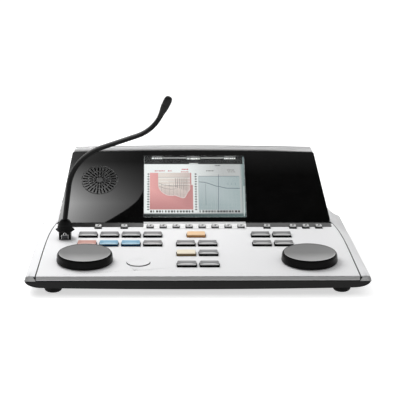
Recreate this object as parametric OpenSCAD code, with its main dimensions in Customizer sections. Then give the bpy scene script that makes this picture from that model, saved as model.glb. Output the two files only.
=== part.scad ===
// Desktop diagnostic audiometer: a sloping desk plate with keys and two large dials,
// a glossy display fascia behind it, a gooseneck talk microphone and a shallow black tub.
// Millimetres. X runs left to right, Y from front to back, Z up. The origin is at the
// middle of the footprint, at table height.

/* [Body] */
// Overall width across the silver belt
body_w = 365; // [352:1:440]
// Depth of the body from its front band to its rear wall
body_d = 292; // [286:1:352]
// Height of the front edge of the desk plate above the table
front_h = 21.8; // [21:0.2:27]
// Height of the top of the rear wall above the table
rear_h = 79; // [72:1:95]
// Thickness of the outer shells
shell_t = 2.4; // [2:0.1:2.9]
// Height of the silver belt at the front
belt_h = 5.2; // [4.4:0.1:6.2]
// Width of a side cheek at the front, from the belt to the seam
cheek_w = 11.8; // [10:0.2:14]
// Open width of the seams between the covers
seam_gap = 0.6; // [0.4:0.1:0.8]
// Radius of the rear corners in plan
corner_r = 12; // [8:1:16]
// Height of the rubber feet below the tub
foot_h = 7.2; // [6:0.1:8.6]

/* [Desk plate] */
// Slope of the desk plate in degrees
desk_slope = 5.5; // [4.5:0.1:6.6]
// Length of the desk plate along its slope, up to the foot of the fascia
desk_len = 171.8; // [170:0.2:178]
// Clearance all round a key in its hole
key_gap = 0.35; // [0.25:0.05:0.5]
// Width of a rectangular key
key_w = 21.1; // [17.5:0.1:22.4]
// Depth of a rectangular key
key_d = 13.5; // [11:0.1:16]
// Height of a rectangular key above the plate
key_h = 3.2; // [2.6:0.1:4]
// Pitch of the rectangular keys from left to right
key_pitch = 24.25; // [24:0.05:25]
// Width of a function key
fkey_w = 7.7; // [6.4:0.1:9.3]
// Depth of a function key
fkey_d = 9.4; // [8:0.1:11.2]
// Height of a function key above the plate
fkey_h = 2.6; // [2.2:0.1:3.2]
// Pitch of the function keys
fkey_pitch = 14.88; // [14:0.02:15.6]
// Travel of every key
key_travel = 1.2; // [0.8:0.1:1.4]
// Diameter of the round tone switch
tone_d = 25; // [21:0.5:30]

/* [Dials] */
// Diameter of a dial at the foot of its skirt
dial_d = 61; // [51:0.2:62]
// Height of a dial above the plate
dial_h = 10.2; // [9:0.1:12.2]
// Diameter of a dial's shaft
shaft_d = 6; // [5:0.1:7.2]
// Radial running clearance of the shaft in its bushing
shaft_gap = 0.05; // [0.03:0.01:0.1]

/* [Fascia] */
// Slope of the display fascia in degrees
fascia_slope = 40.3; // [36:0.1:42]
// Length of the fascia along its slope, at its sides
fascia_len = 105.2; // [104:0.1:107]
// Width of the fascia at its foot
fascia_w = 315.6; // [312:0.2:318]
// Thickness of the fascia
fascia_t = 3; // [2.5:0.1:3.6]
// Width of the screen opening
window_w = 119.6; // [110:0.2:128]
// Height of the screen opening along the slope
window_h = 91.4; // [84:0.2:92]
// Radius of the loudspeaker grille
grille_r = 20.7; // [19:0.1:25.5]
// Radius of the bright rail on top of the fascia
rail_r = 3.9; // [3.3:0.1:4.6]

/* [Microphone] */
// Diameter of the gooseneck
neck_d = 5.9; // [4.9:0.1:7]
// Length of the microphone head
capsule_len = 24; // [20:0.5:29]
// Diameter of the microphone head
capsule_d = 9; // [7.5:0.1:10.8]
// Width of the square socket housing
socket_w = 13.4; // [13:0.1:16]

/* [Hidden] */

$fn = 48;
seat_gap = 0.3;      // between a piece and what carries it
part_gap = 0.3;      // beside a piece that fits in an opening
over = 1;            // how far a cutter runs past the face it cuts

// ---- where the main surfaces lie, measured back from the front edge and up from the table
socket_proud = 3;                       // the rear sockets stand out of the rear wall
total_d = body_d + socket_proud;
belt_top = front_h - 0.2;
belt_foot = belt_top - belt_h;
belt_lean = 1.6;                        // the belt leans out towards its lower edge
fascia_y = desk_len * cos(desk_slope);
fascia_z = front_h + desk_len * sin(desk_slope);
fascia_proud = 0.8;                     // the fascia's face stands above its seat line
fascia_back = fascia_proud - fascia_t;
fascia_bow = 2.6;                       // rise of the fascia's top edge at the middle
fascia_taper = 0.13;                    // each side of the fascia leans in, per mm of slope
rail_s = fascia_len + rail_r + 0.2;     // the rail's axis along the fascia, at its ends
rail_y = fascia_y + rail_s * cos(fascia_slope);
rail_z = fascia_z + rail_s * sin(fascia_slope);
crown_z = rail_z + 0.5;                 // where the fascia and rear slopes would meet
skin_drop = 3.7;                        // the side skins stop this far under the two slopes
seam_front = body_w / 2 - cheek_w;
seam_taper = 0.03;                      // the seam runs in towards the rear
seam_end = fascia_w / 2 + 2.2;          // where the seam meets the fascia's corner
seam_curl_power = 5.5;
rear_flare = 5.4;                       // the hump widens by this much to the rear wall
rear_inner_y = body_d - shell_t;        // inner face of the rear wall

function smooth(a, b, t) = let (u = min(1, max(0, (t - a) / (b - a)))) u * u * (3 - 2 * u);
function mix(p, q, t) = p + (q - p) * t;
function bezier(a, b, c, t) = (1 - t) * (1 - t) * a + 2 * t * (1 - t) * b + t * t * c;
function desk_z(y) = front_h + y * tan(desk_slope);
function fascia_x(s) = fascia_w / 2 - fascia_taper * s;
function rear_slope_z(y) = mix(crown_z, rear_h, (y - rail_y) / (body_d - rail_y));
function seam_x(y) = let (curl = seam_front - seam_taper * fascia_y - seam_end)
    seam_front - seam_taper * y - curl * pow(y / fascia_y, seam_curl_power);

module place() translate([0, -total_d / 2, 0]) children();
module on_desk() place() translate([0, 0, front_h]) rotate([desk_slope, 0, 0]) children();
module on_fascia() place() translate([0, fascia_y, fascia_z]) rotate([fascia_slope, 0, 0])
    children();
module box(low, high) translate(low) cube(high - low);
module along_y(from, to) translate([0, to, 0]) rotate([90, 0, 0]) linear_extrude(to - from)
    children();
module along_x(half) translate([-half, 0, 0]) rotate([90, 0, 90]) linear_extrude(2 * half)
    children();

// ---- where the controls sit on the desk plate: x, and distance up the plate from the front
dial_x = body_w / 2 - 61.5;
dial_v = 46;
row_v = [for (front = [122.8, 93.2, 61.8, 26.9]) front + key_d / 2];
left_keys = [for (row = [0, 1]) for (k = [0:3]) [-dial_x + k * key_pitch, row_v[row]]];
mid_x = 0.6;                            // middle of the middle block of keys
right_inset = 0.8;                      // the right keys sit this much nearer the dial
mid_keys = concat([[mid_x, row_v[0]]],
    [for (row = [1:3]) for (side = [-1, 1]) [mid_x + side * key_pitch / 2, row_v[row]]]);
right_keys = [for (row = [0, 1]) for (k = [2, 1])
    [dial_x + right_inset - k * key_pitch, row_v[row]]];
fkey_v = 153.6 + fkey_d / 2;
fkey_x0 = 0.8;
fkey_slots = [-4, -2, 0, 1, 2, 3, 4, 5, 6, 7, 9, 11, 12, 13];
fkeys = [for (slot = fkey_slots) [fkey_x0 + (slot - 3.5) * fkey_pitch, fkey_v]];
tone_at = [-dial_x + 57.6, 42];
tone_dish = 1.1;                        // depth of the dish in the tone switch
tone_rim = 1;                           // height of its rim
tone_lean = 0.3;                        // its wall leans in by this much
mic_at = [36.2 - body_w / 2, 122];
talkback_at = [tone_at[0] - 4, 18.7];

// ---- side cheeks: a thin skin swept from front to rear through sections across the body
skin_steps = 12;
function rim_x(y) = let (back = max(0, y - body_d + corner_r))
    body_w / 2 - corner_r + sqrt(max(0, corner_r * corner_r - back * back));
function side_x(y) = y <= rail_y ? fascia_x((y - fascia_y) / cos(fascia_slope))
    : fascia_x(rail_s) + rear_flare * (y - rail_y) / (body_d - rail_y);
function edge_x(y) = mix(seam_x(min(y, fascia_y + 6)), side_x(y),
    smooth(fascia_y + 2, fascia_y + 10, y));
function slope_z(y) = min(fascia_z + (y - fascia_y) * tan(fascia_slope), rear_slope_z(y));
function edge_z(y) = max(y < fascia_y + 10 ? desk_z(y) : 0, y < fascia_y ? 0 : slope_z(y) - skin_drop);
function cheek_skin(y, inset) = let (
        upright = smooth(fascia_y + 1, fascia_y + 16, y),
        concave = smooth(fascia_y - 45, fascia_y + 25, y),
        rim = [rim_x(y) - belt_lean - inset, belt_top - inset],
        edge = [edge_x(y) - inset * upright, edge_z(y) - inset * (1 - upright)],
        bulge = (rim + edge) / 2 + [0.8, 0.8],
        shoulder = [edge_x(y) + 8 - inset, belt_top + 8 - inset],
        middle = mix(bulge, shoulder, concave))
    concat([[rim_x(y) - inset, belt_foot]],
           [for (i = [0:skin_steps]) bezier(rim, middle, edge, i / skin_steps)]);
function cheek_section(y) = let (inner = cheek_skin(y, shell_t), n = len(inner))
    concat(cheek_skin(y, 0), [for (i = [0:n - 1]) inner[n - 1 - i]]);
cheek_end = rear_inner_y - 0.2;
seam_rows = [0, 20, 40, 60, 80, 96, 110, 121, 130, 138, 145, 151, 156, 160, 164, 167.5];
cheek_rows = concat(seam_rows,
    [for (d = [0, 1.5, 3, 4.5, 6, 8, 10, 13, 17, 22, 29, 38, 49, 62]) fascia_y + d],
    [rail_y - 1.5, rail_y + 1.5, (rail_y + body_d) / 2],
    [for (back = [1, 0.8, 0.6, 0.45, 0.33]) body_d - corner_r * back], [cheek_end]);

module sweep_sections(rows) {
    n = len(cheek_section(0));
    count = len(rows);
    points = [for (y = rows) for (p = cheek_section(y)) [p[0], y, p[1]]];
    sides = [for (k = [0:count - 2]) for (i = [0:n - 1]) let (j = (i + 1) % n)
        each [[k * n + i, k * n + j, (k + 1) * n + j],
              [k * n + i, (k + 1) * n + j, (k + 1) * n + i]]];
    caps = [for (k = [0, count - 1]) for (i = [0:n / 2 - 2])
        let (a = k * n + i, b = k * n + n - 1 - i)
        each (k == 0 ? [[a, b, a + 1], [a + 1, b, b - 1]] : [[a, a + 1, b], [a + 1, b - 1, b]])];
    polyhedron(points, concat(sides, caps), convexity = 6);
}
module cheek() color("gainsboro") place() {
    sweep_sections(cheek_rows);
    along_y(0, shell_t) polygon(concat(cheek_skin(0, 0), [[seam_front, belt_foot]]));
}
module right_cheek() cheek();
module left_cheek() mirror([1, 0, 0]) cheek();

// ---- black tub: one section across the body, with upswept ends and a rounded rear in plan
tub_side = body_w / 2 - 0.5;
tub_curl = 18;                          // width of an upswept end
tub_bow = 1.6;                          // the underside hangs lower at the middle
tub_front = 1.2;
post_foot = foot_h + tub_bow + 0.3;     // inside posts start within the floor
post_d = 9;
post_split = 12.4;                      // the tub's screw posts end here, and the covers' bosses start
screw_d = 3;
screw_head_d = 6;
screw_sink = 3.7;                       // how far a counterbore reaches above the tub's underside
screw_grip = 8;                         // length of a screw above its head
rear_post = [body_w / 2 - 44.5, body_d - 9];
rear_screw_x = seam_end - 9;
plate_screws = concat([for (side = [-1, 1]) each [[side * (dial_x + 35), 36],
    [side * rear_screw_x, 158]]], [[0, 9]]);
rear_screws = [[-rear_post[0], rear_post[1]], rear_post];
board_t = 1.6;
key_board_h = 11;                       // top of the key board, under the face of the plate
main_board_z = 25.6;
key_board_half = dial_x + 23;
board_posts = [for (side = [-1, 0, 1]) each [[side * (dial_x - 11), 24],
    [side * (rear_screw_x - 41), 162]]];
main_posts = [for (x = [-112, 112]) for (y = [196, 262]) [x, y]];
feet = [for (side = [-1, 1]) for (y = [20.5, body_d - 22]) [side * (body_w / 2 - 29), y]];
function key_board_under(y) = desk_z(y) - (key_board_h + board_t) / cos(desk_slope);
function tub_outline(inset) = let (
        curl_x = tub_side - tub_curl,
        curl_h = belt_foot - foot_h - tub_bow)
    concat([for (a = [0:10:80]) [curl_x + (tub_curl - inset) * cos(a),
                                 belt_foot - (curl_h - inset) * sin(a)]],
           [for (i = [8:-1:0]) let (x = curl_x * i / 8)
                [x, foot_h + inset + tub_bow * pow(i / 8, 2)]]);
module tub_section(inset) {
    right = tub_outline(inset);
    n = len(right);
    polygon(concat(right, [for (i = [n - 2:-1:0]) [-right[i][0], right[i][1]]]));
}
module tub_plan(inset) {
    reach = body_w / 2 - corner_r;
    back = body_d - corner_r;
    translate([-body_w / 2 + inset, tub_front + inset])
        square([body_w - 2 * inset, back - tub_front - inset]);
    translate([-reach, back - 1]) square([2 * reach, corner_r + 1 - inset]);
    for (side = [-1, 1]) translate([side * reach, back]) circle(corner_r - inset, $fn = 64);
}
module tub_volume(inset) intersection() {
    along_y(tub_front + inset, body_d - inset) tub_section(inset);
    linear_extrude(front_h) tub_plan(inset);
}
module base_tub() color([0.13, 0.13, 0.13]) place() difference() {
    union() {
        difference() {
            tub_volume(0);
            tub_volume(shell_t);
        }
        for (p = concat(plate_screws, rear_screws)) translate([p[0], p[1], post_foot])
            cylinder(d = post_d, h = post_split - post_foot);
        for (p = board_posts) translate([p[0], p[1], post_foot])
            cylinder(d = 6, h = key_board_under(p[1]) - seat_gap - post_foot);
        for (p = main_posts) translate([p[0], p[1], post_foot])
            cylinder(d = 7, h = main_board_z - post_foot);
    }
    for (p = concat(plate_screws, rear_screws)) translate([p[0], p[1], 0]) {
        cylinder(d = screw_d + 0.4, h = front_h);
        cylinder(d = screw_head_d + 0.6, h = foot_h + screw_sink);
    }
}
module case_screws() color("dimgray") place() for (p = concat(plate_screws, rear_screws))
    translate([p[0], p[1], foot_h + screw_sink]) {
        translate([0, 0, -2]) difference() {
            cylinder(d = screw_head_d, h = 2);
            translate([0, 0, -over]) cylinder(d = 2.6, h = 1.2 + over, $fn = 6);
        }
        translate([0, 0, -0.5]) cylinder(d = screw_d, h = screw_grip + 0.5);
    }
module screw_hole(p) translate([p[0], p[1], 0])
    cylinder(d = screw_d + 0.1, h = foot_h + screw_sink + screw_grip + 0.4);
module rubber_feet() color([0.06, 0.06, 0.06]) place() for (p = feet) translate([p[0], p[1], 0])
    rotate_extrude() polygon(concat([[0, foot_h + tub_bow * 0.72], [0, 0]],
        [for (a = [0:15:90]) [4.8 + 4.8 * sin(a), 4.6 * (1 - cos(a))]],
        [[9.6, foot_h + tub_bow * 0.72]]));

// ---- sloping desk plate with a folded-down front band and a boss for each case screw
plate_len = desk_len - 0.1;
module plate_outline() {
    right = [for (y = concat(seam_rows, [plate_len * cos(desk_slope)]))
        [seam_x(y) - seam_gap, y / cos(desk_slope)]];
    n = len(right);
    polygon(concat(right, [for (i = [n - 1:-1:0]) [-right[i][0], right[i][1]]]));
}
module key_holes(places, size) for (p = places) translate([p[0], p[1], -shell_t - over])
    linear_extrude(shell_t + 3 * over + fkey_h) square(size + 2 * [key_gap, key_gap], center = true);
module desk_plate() color("gainsboro") difference() {
    union() {
        on_desk() translate([0, 0, -shell_t]) linear_extrude(shell_t) plate_outline();
        place() box([seam_gap - seam_front, 0, belt_foot + 0.8],
                    [seam_front - seam_gap, shell_t, front_h - 0.4]);
        place() for (p = plate_screws) translate([p[0], p[1], post_split + seat_gap])
            cylinder(d = post_d - 1, h = desk_z(p[1]) - 1.6 - post_split - seat_gap);
    }
    on_desk() {
        key_holes(concat(left_keys, mid_keys, right_keys), [key_w, key_d]);
        key_holes(fkeys, [fkey_w, fkey_d]);
        for (side = [-1, 1]) translate([side * dial_x, dial_v, -shell_t - over])
            cylinder(d = bushing_d + 0.6, h = shell_t + 2 * over);
        translate([tone_at[0], tone_at[1], -shell_t - over])
            cylinder(d = tone_d + 2 * key_gap, h = shell_t + 2 * over, $fn = 96);
        translate([mic_at[0], mic_at[1], -shell_t - over])
            cylinder(d = barrel_d + 0.6, h = shell_t + 2 * over);
        translate([talkback_at[0], talkback_at[1], -shell_t - over])
            cylinder(d = 1.4, h = shell_t + 2 * over, $fn = 24);
    }
    place() for (p = plate_screws) screw_hole(p);
}

// ---- keys: a chamfered cap, a flange that catches under the plate and a plunger
switch_h = 3.4;
cap_chamfer = 0.6;
flange_reach = 0.7;
flange_top = -shell_t - 0.35;
plunger_low = -key_board_h + switch_h + key_travel + 0.1;
module key_cap(at, w, d, h) on_desk() translate([at[0], at[1], 0]) {
    translate([0, 0, flange_top - 1]) linear_extrude(h - cap_chamfer - flange_top + 1)
        square([w, d], center = true);
    hull() {
        translate([-w / 2, -d / 2, h - cap_chamfer - 0.01]) cube([w, d, 0.01]);
        translate([-w / 2 + cap_chamfer, -d / 2 + cap_chamfer, h - 0.01])
            cube([w - 2 * cap_chamfer, d - 2 * cap_chamfer, 0.01]);
    }
    translate([0, 0, flange_top - 1]) linear_extrude(1)
        square([w + 2 * flange_reach, d + 2 * flange_reach], center = true);
    translate([0, 0, plunger_low]) cylinder(d = 4, h = flange_top - 0.5 - plunger_low, $fn = 24);
}
module big_key(at) key_cap(at, key_w, key_d, key_h);
module small_key(at) key_cap(at, fkey_w, fkey_d, fkey_h);
grey_key = [0.45, 0.45, 0.45];
pink_key = [0.80, 0.58, 0.55];
blue_key = [0.35, 0.60, 0.78];
orange_key = [0.93, 0.66, 0.43];
cream_key = [0.96, 0.86, 0.66];
left_colors = [grey_key, grey_key, grey_key, grey_key, pink_key, blue_key, blue_key, grey_key];
mid_colors = [orange_key, grey_key, grey_key, cream_key, grey_key, grey_key, grey_key];
module left_key(i) color(left_colors[i]) big_key(left_keys[i]);
module mid_key(i) color(mid_colors[i]) big_key(mid_keys[i]);
module right_key(i) color(grey_key) big_key(right_keys[i]);
module fkey(i) color([0.35, 0.35, 0.35]) small_key(fkeys[i]);

// round tone switch with a dished face
module tone_switch() color("whitesmoke") on_desk() translate([tone_at[0], tone_at[1], 0]) {
    rim_r = tone_d / 2 - tone_lean;
    flange_r = tone_d / 2 + flange_reach;
    rotate_extrude($fn = 96) polygon(concat(
        [for (i = [0:6]) [rim_r * i / 6, tone_rim - tone_dish * (1 - pow(i / 6, 2))]],
        [[tone_d / 2, 0], [tone_d / 2, flange_top], [flange_r, flange_top],
         [flange_r, flange_top - 1], [2, flange_top - 1], [2, plunger_low], [0, plunger_low]]));
}

// ---- dark strips in the groove at the foot of the fascia, and the white legend strip
strip_v = [159.6, desk_len - 0.2];
strip_t = 0.8;
legend_half = fkey_x0 + 58.1;
legend_v = [152.4, desk_len - 0.2];
legend_t = 0.6;
legend_lip = 2.1;
module key_strip() color([0.28, 0.28, 0.28]) on_desk() difference() {
    for (side = [-1, 1]) scale([side, 1, 1])
        box([legend_half + part_gap, strip_v[0], 0], [fascia_w / 2 - 0.6, strip_v[1], strip_t]);
    key_holes(fkeys, [fkey_w, fkey_d]);
}
module legend_strip() color("white") on_desk() difference() {
    union() {
        box([-legend_half, legend_v[0], 0], [legend_half, legend_v[1], legend_t]);
        box([-legend_half, legend_v[1] - 1.2, 0], [legend_half, legend_v[1], legend_lip]);
    }
    key_holes(fkeys, [fkey_w, fkey_d]);
}

// ---- dials on their encoders
bushing_d = 9;
nut_d = 13;
dial_foot = 0.6;
face_r = dial_d / 2 - 2;
face_dip = 1.1;
module dial(x) on_desk() translate([x, dial_v, 0]) rotate_extrude($fn = 128) polygon(concat(
    [[0, -6], [shaft_d / 2, -6], [shaft_d / 2, dial_h - 4.6], [nut_d / 2 + 3, dial_h - 4.6],
     [nut_d / 2 + 3, dial_foot], [dial_d / 2 - 0.5, dial_foot], [dial_d / 2, dial_foot + 1.6],
     [dial_d / 2 - 0.7, dial_h - 1.9], [face_r, dial_h]],
    [for (i = [5:-1:0]) let (r = (face_r - 0.8) * i / 5)
        [r, dial_h - 0.3 - face_dip * (1 - pow(i / 5, 2))]]));
module dial_left() color([0.3, 0.3, 0.3]) dial(-dial_x);
module dial_right() color([0.3, 0.3, 0.3]) dial(dial_x);
module dial_encoders() color("silver") on_desk() for (side = [-1, 1])
    translate([side * dial_x, dial_v, 0]) difference() {
        union() {
            box([-8, -8, part_gap - key_board_h], [8, 8, -shell_t - seat_gap]);
            translate([0, 0, -shell_t - 1]) cylinder(d = bushing_d, h = shell_t + 4);
            translate([0, 0, 0.2]) cylinder(d = nut_d, h = 2, $fn = 6);
        }
        translate([0, 0, -7]) cylinder(r = shaft_d / 2 + shaft_gap, h = 12);
    }

// ---- glossy fascia with its screen opening and the loudspeaker slots
fascia_foot = 0.8;
foot_chamfer = [2.6, 3.5];
window_x = 0.8;
window_s = 8.6 + window_h / 2;
grille_at = [-111, 63.4];
grille_rings = [[28, 0.65, 0.95], [20, 0.385, 0.60], [12, 0.18, 0.335]];
slot_w = 1.5;
top_half = fascia_x(fascia_len);
bow_r = (top_half * top_half + fascia_bow * fascia_bow) / (2 * fascia_bow);
function bow_s(x) = fascia_len + fascia_bow - bow_r + sqrt(bow_r * bow_r - x * x);
module fascia_outline() {
    right = concat([[fascia_w / 2 - foot_chamfer[0], fascia_foot],
                    [fascia_x(fascia_foot + foot_chamfer[1]), fascia_foot + foot_chamfer[1]]],
                   [for (i = [8:-1:0]) let (x = top_half * i / 8) [x, bow_s(x)]]);
    n = len(right);
    polygon(concat(right, [for (i = [n - 2:-1:0]) [-right[i][0], right[i][1]]]));
}
module grille_slots() translate([grille_at[0], grille_at[1], 0]) for (ring = grille_rings)
    for (k = [0:ring[0] - 1]) rotate([0, 0, 360 * (k + 0.5) / ring[0]])
        translate([ring[1] * grille_r, -slot_w / 2, fascia_back - over])
            cube([(ring[2] - ring[1]) * grille_r, slot_w, fascia_t + 2 * over]);
module display_panel() color([0.03, 0.03, 0.03]) on_fascia() difference() {
    translate([0, 0, fascia_back]) linear_extrude(fascia_t) fascia_outline();
    translate([window_x - window_w / 2, window_s - window_h / 2, fascia_back - over])
        cube([window_w, window_h, fascia_t + 2 * over]);
    grille_slots();
    translate([grille_at[0], grille_at[1], fascia_proud - 0.4]) difference() {
        cylinder(r = grille_r + 0.6, h = over, $fn = 96);
        translate([0, 0, -over]) cylinder(r = grille_r, h = 3 * over, $fn = 96);
    }
}
module display_window() color([0.6, 0.7, 0.7, 0.4]) on_fascia()
    box([window_x - window_w / 2 + part_gap, window_s - window_h / 2 + part_gap, -0.7],
        [window_x + window_w / 2 - part_gap, window_s + window_h / 2 - part_gap, 0.5]);
module display_module() color("slategray") on_fascia() {
    low = [window_x - window_w / 2 - 5, window_s - window_h / 2 - 4];
    high = [window_x + window_w / 2 + 5, window_s + window_h / 2 + 4];
    box([low[0], low[1], fascia_back - 9], [high[0], high[1], fascia_back - seat_gap]);
    box([window_x - 30, window_s - 20, fascia_back - 12],
        [window_x + 30, window_s + 20, fascia_back - 8]);
}
module loudspeaker() color("dimgray") on_fascia()
    translate([grille_at[0], grille_at[1], fascia_back - seat_gap]) rotate_extrude($fn = 96)
        polygon([[3, -5], [grille_r - 1, 0], [grille_r + 4, 0], [grille_r + 4, -2],
                 [15, -13], [15, -20], [0, -20], [0, -5]]);

// bright half-round rail on the top edge of the fascia, its ends slanted inwards to the top
rail_slant = 3.4;
module crown_rail() color("silver") intersection() {
    sweep = asin(top_half / bow_r);
    low = rail_z - rail_r;
    high = rail_z + rail_r + fascia_bow;
    out = top_half;
    inn = out - (high - low) * rail_slant / (1.8 * rail_r);
    on_fascia() translate([0, rail_s + fascia_bow - bow_r, 0]) rotate([0, 0, 90 - sweep])
        rotate_extrude(angle = 2 * sweep, $fn = 2400) translate([bow_r, 0])
            circle(rail_r, $fn = 40);
    place() along_y(rail_y - 3 * rail_r, rail_y + 3 * rail_r + fascia_bow)
        polygon([[-out, low - 1], [out, low - 1], [out, low], [inn, high], [-inn, high], [-out, low]]);
}

// ---- rear slope and rear wall of the hump, with vents and socket holes
socket_z = main_board_z + board_t + 0.3 + 6.5;
jack_x = [for (k = [0:6]) -104 + 20 * k];
data_x = 42;
data_hole = [8.4, 7.6];
power_x = 68;
power_bore = 7.2;
switch_x = 98;
rocker = [13, 9.6];
jack_bore = 6.4;
jack_body = [13, 16, 13];
vent = [2.4, 14];                       // width and height of a vent slot
vent_z = 54;
cover_fall = (crown_z - rear_h) / (body_d - rail_y);
rail_room = rail_r + 0.43;              // the rear cover starts this far from the rail's axis
// where the rear slope leaves the rail, for the rail's axis moved up the fascia by bow
function rail_clear(bow) = let (
        slope = 1 + cover_fall * cover_fall,
        rise = crown_z - rail_z - bow * sin(fascia_slope) - cover_fall * bow * cos(fascia_slope),
        fall = cover_fall * rise,
        reach = fall * fall + slope * (rail_room * rail_room - rise * rise))
    rail_y + bow * cos(fascia_slope) + (fall + sqrt(max(0, reach))) / slope;
cover_front = max(rail_clear(0), rail_clear(fascia_bow));
module rear_outline() {
    right = concat(cheek_skin(cheek_end, 0), [[side_x(cheek_end), rear_h - 1]]);
    n = len(right);
    polygon(concat(right, [for (i = [n - 1:-1:0]) [-right[i][0], right[i][1]]]));
}
module rear_cover() {
    drop = shell_t * sqrt(1 + cover_fall * cover_fall);
    front_z = rear_slope_z(cover_front);
    intersection() {
        along_x(body_w / 2) polygon([[cover_front, front_z], [body_d, rear_h],
            [body_d, rear_h - drop], [cover_front, front_z - drop]]);
        linear_extrude(2 * crown_z) polygon([[side_x(cover_front), cover_front],
            [side_x(body_d), body_d], [-side_x(body_d), body_d], [-side_x(cover_front), cover_front]]);
    }
}
module wall_hole(x, w, h) translate([x, body_d + over, socket_z]) rotate([90, 0, 0])
    linear_extrude(shell_t + 2 * over) square([w, h], center = true);
module round_hole(x, d) translate([x, body_d + over, socket_z]) rotate([90, 0, 0])
    cylinder(d = d, h = shell_t + 2 * over);
module rear_housing() color("gainsboro") place() difference() {
    union() {
        along_y(rear_inner_y, body_d) rear_outline();
        rear_cover();
        for (p = rear_screws) {
            translate([p[0], p[1], post_split + seat_gap]) cylinder(d = post_d - 1, h = 9);
            box([p[0] - 1.5, p[1], belt_foot + seat_gap],
                [p[0] + 1.5, rear_inner_y + 1, post_split + 9]);
        }
    }
    for (p = rear_screws) screw_hole(p);
    for (x = concat(jack_x, [power_x])) round_hole(x, 10.4);
    wall_hole(data_x, data_hole[0] + 2, data_hole[1] + 2);
    wall_hole(switch_x, rocker[0] + 2.8, rocker[1] + 2.8);
    for (side = [-1, 1]) for (k = [0:11])
        translate([side * (40 + 6 * k) - vent[0] / 2, rear_inner_y - over, vent_z])
            cube([vent[0], shell_t + 2 * over, vent[1]]);
}

// sockets: a body on the main board and a collar through the rear wall
module socket(x, collar, bore) translate([x, 0, socket_z]) difference() {
    union() {
        box([-jack_body[0] / 2, rear_inner_y - seat_gap - jack_body[1], -jack_body[2] / 2],
            [jack_body[0] / 2, rear_inner_y - seat_gap, jack_body[2] / 2]);
        translate([0, body_d + 0.3, 0]) rotate([90, 0, 0]) cylinder(d = 10, h = shell_t + 1);
        translate([0, body_d + socket_proud, 0]) rotate([90, 0, 0])
            cylinder(d = collar, h = socket_proud - 0.1);
    }
    translate([0, body_d + socket_proud + over, 0]) rotate([90, 0, 0]) cylinder(d = bore, h = 17);
}
module data_socket() translate([data_x, 0, socket_z]) {
    difference() {
        box([-data_hole[0] / 2 - 0.8, rear_inner_y - 14, -data_hole[1] / 2 - 0.8],
            [data_hole[0] / 2 + 0.8, body_d + 0.6, data_hole[1] / 2 + 0.8]);
        box([-data_hole[0] / 2, rear_inner_y - 11, -data_hole[1] / 2],
            [data_hole[0] / 2, body_d + over, data_hole[1] / 2]);
    }
    box([-2.8, rear_inner_y - 12, -1.6], [2.8, rear_inner_y - 5, 1.6]);
}
module rear_sockets() color([0.1, 0.1, 0.1]) place() {
    for (x = jack_x) socket(x, 14, jack_bore);
    socket(power_x, 12, power_bore);
    data_socket();
    // frame of the power switch
    translate([switch_x, 0, socket_z]) difference() {
        box([-rocker[0] / 2 - 1.1, rear_inner_y - 12, -rocker[1] / 2 - 1.1],
            [rocker[0] / 2 + 1.1, body_d + 0.8, rocker[1] / 2 + 1.1]);
        box([-rocker[0] / 2 - 0.3, rear_inner_y - 9, -rocker[1] / 2 - 0.3],
            [rocker[0] / 2 + 0.3, body_d + over, rocker[1] / 2 + 0.3]);
    }
}
rocker_throw = 12;
module power_switch() color([0.08, 0.08, 0.08]) place() translate([switch_x, body_d - 1, socket_z])
    rotate([rocker_throw / 2, 0, 0]) rotate([90, 0, 90]) translate([0, 0, -rocker[0] / 2])
        linear_extrude(rocker[0]) polygon(let (half = rocker[1] / 2 - 0.3)
            [[-3.6, -1.6], [-3.6, 1.6], [2, half], [2.9, half - 0.2], [1.9, 0],
             [2.9, 0.2 - half], [2, -half]]);

// ---- circuit boards
chips = [[-60, 226, 26, 26, 3], [-20, 222, 18, 18, 2], [24, 232, 30, 20, 8], [78, 224, 34, 24, 12]];
module circuit_boards() color("darkgreen") {
    on_desk() {
        difference() {
            box([-key_board_half, 21, -key_board_h - board_t], [key_board_half, 168, -key_board_h]);
            for (p = plate_screws) translate([p[0],
                (p[1] - key_board_h * sin(desk_slope)) / cos(desk_slope), -key_board_h])
                cylinder(d = post_d + 4 * part_gap, h = 4 * board_t, center = true);
        }
        for (p = concat(left_keys, mid_keys, right_keys, fkeys, [tone_at]))
            translate([p[0] - 3, p[1] - 3, -key_board_h - 0.2]) cube([6, 6, switch_h + 0.2]);
    }
    place() {
        box([-124, 190, main_board_z], [124, rear_inner_y - 4, main_board_z + board_t]);
        for (c = chips) translate([c[0] - c[2] / 2, c[1] - c[3] / 2, main_board_z + board_t - 0.2])
            cube([c[2], c[3], c[4]]);
    }
}

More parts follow.
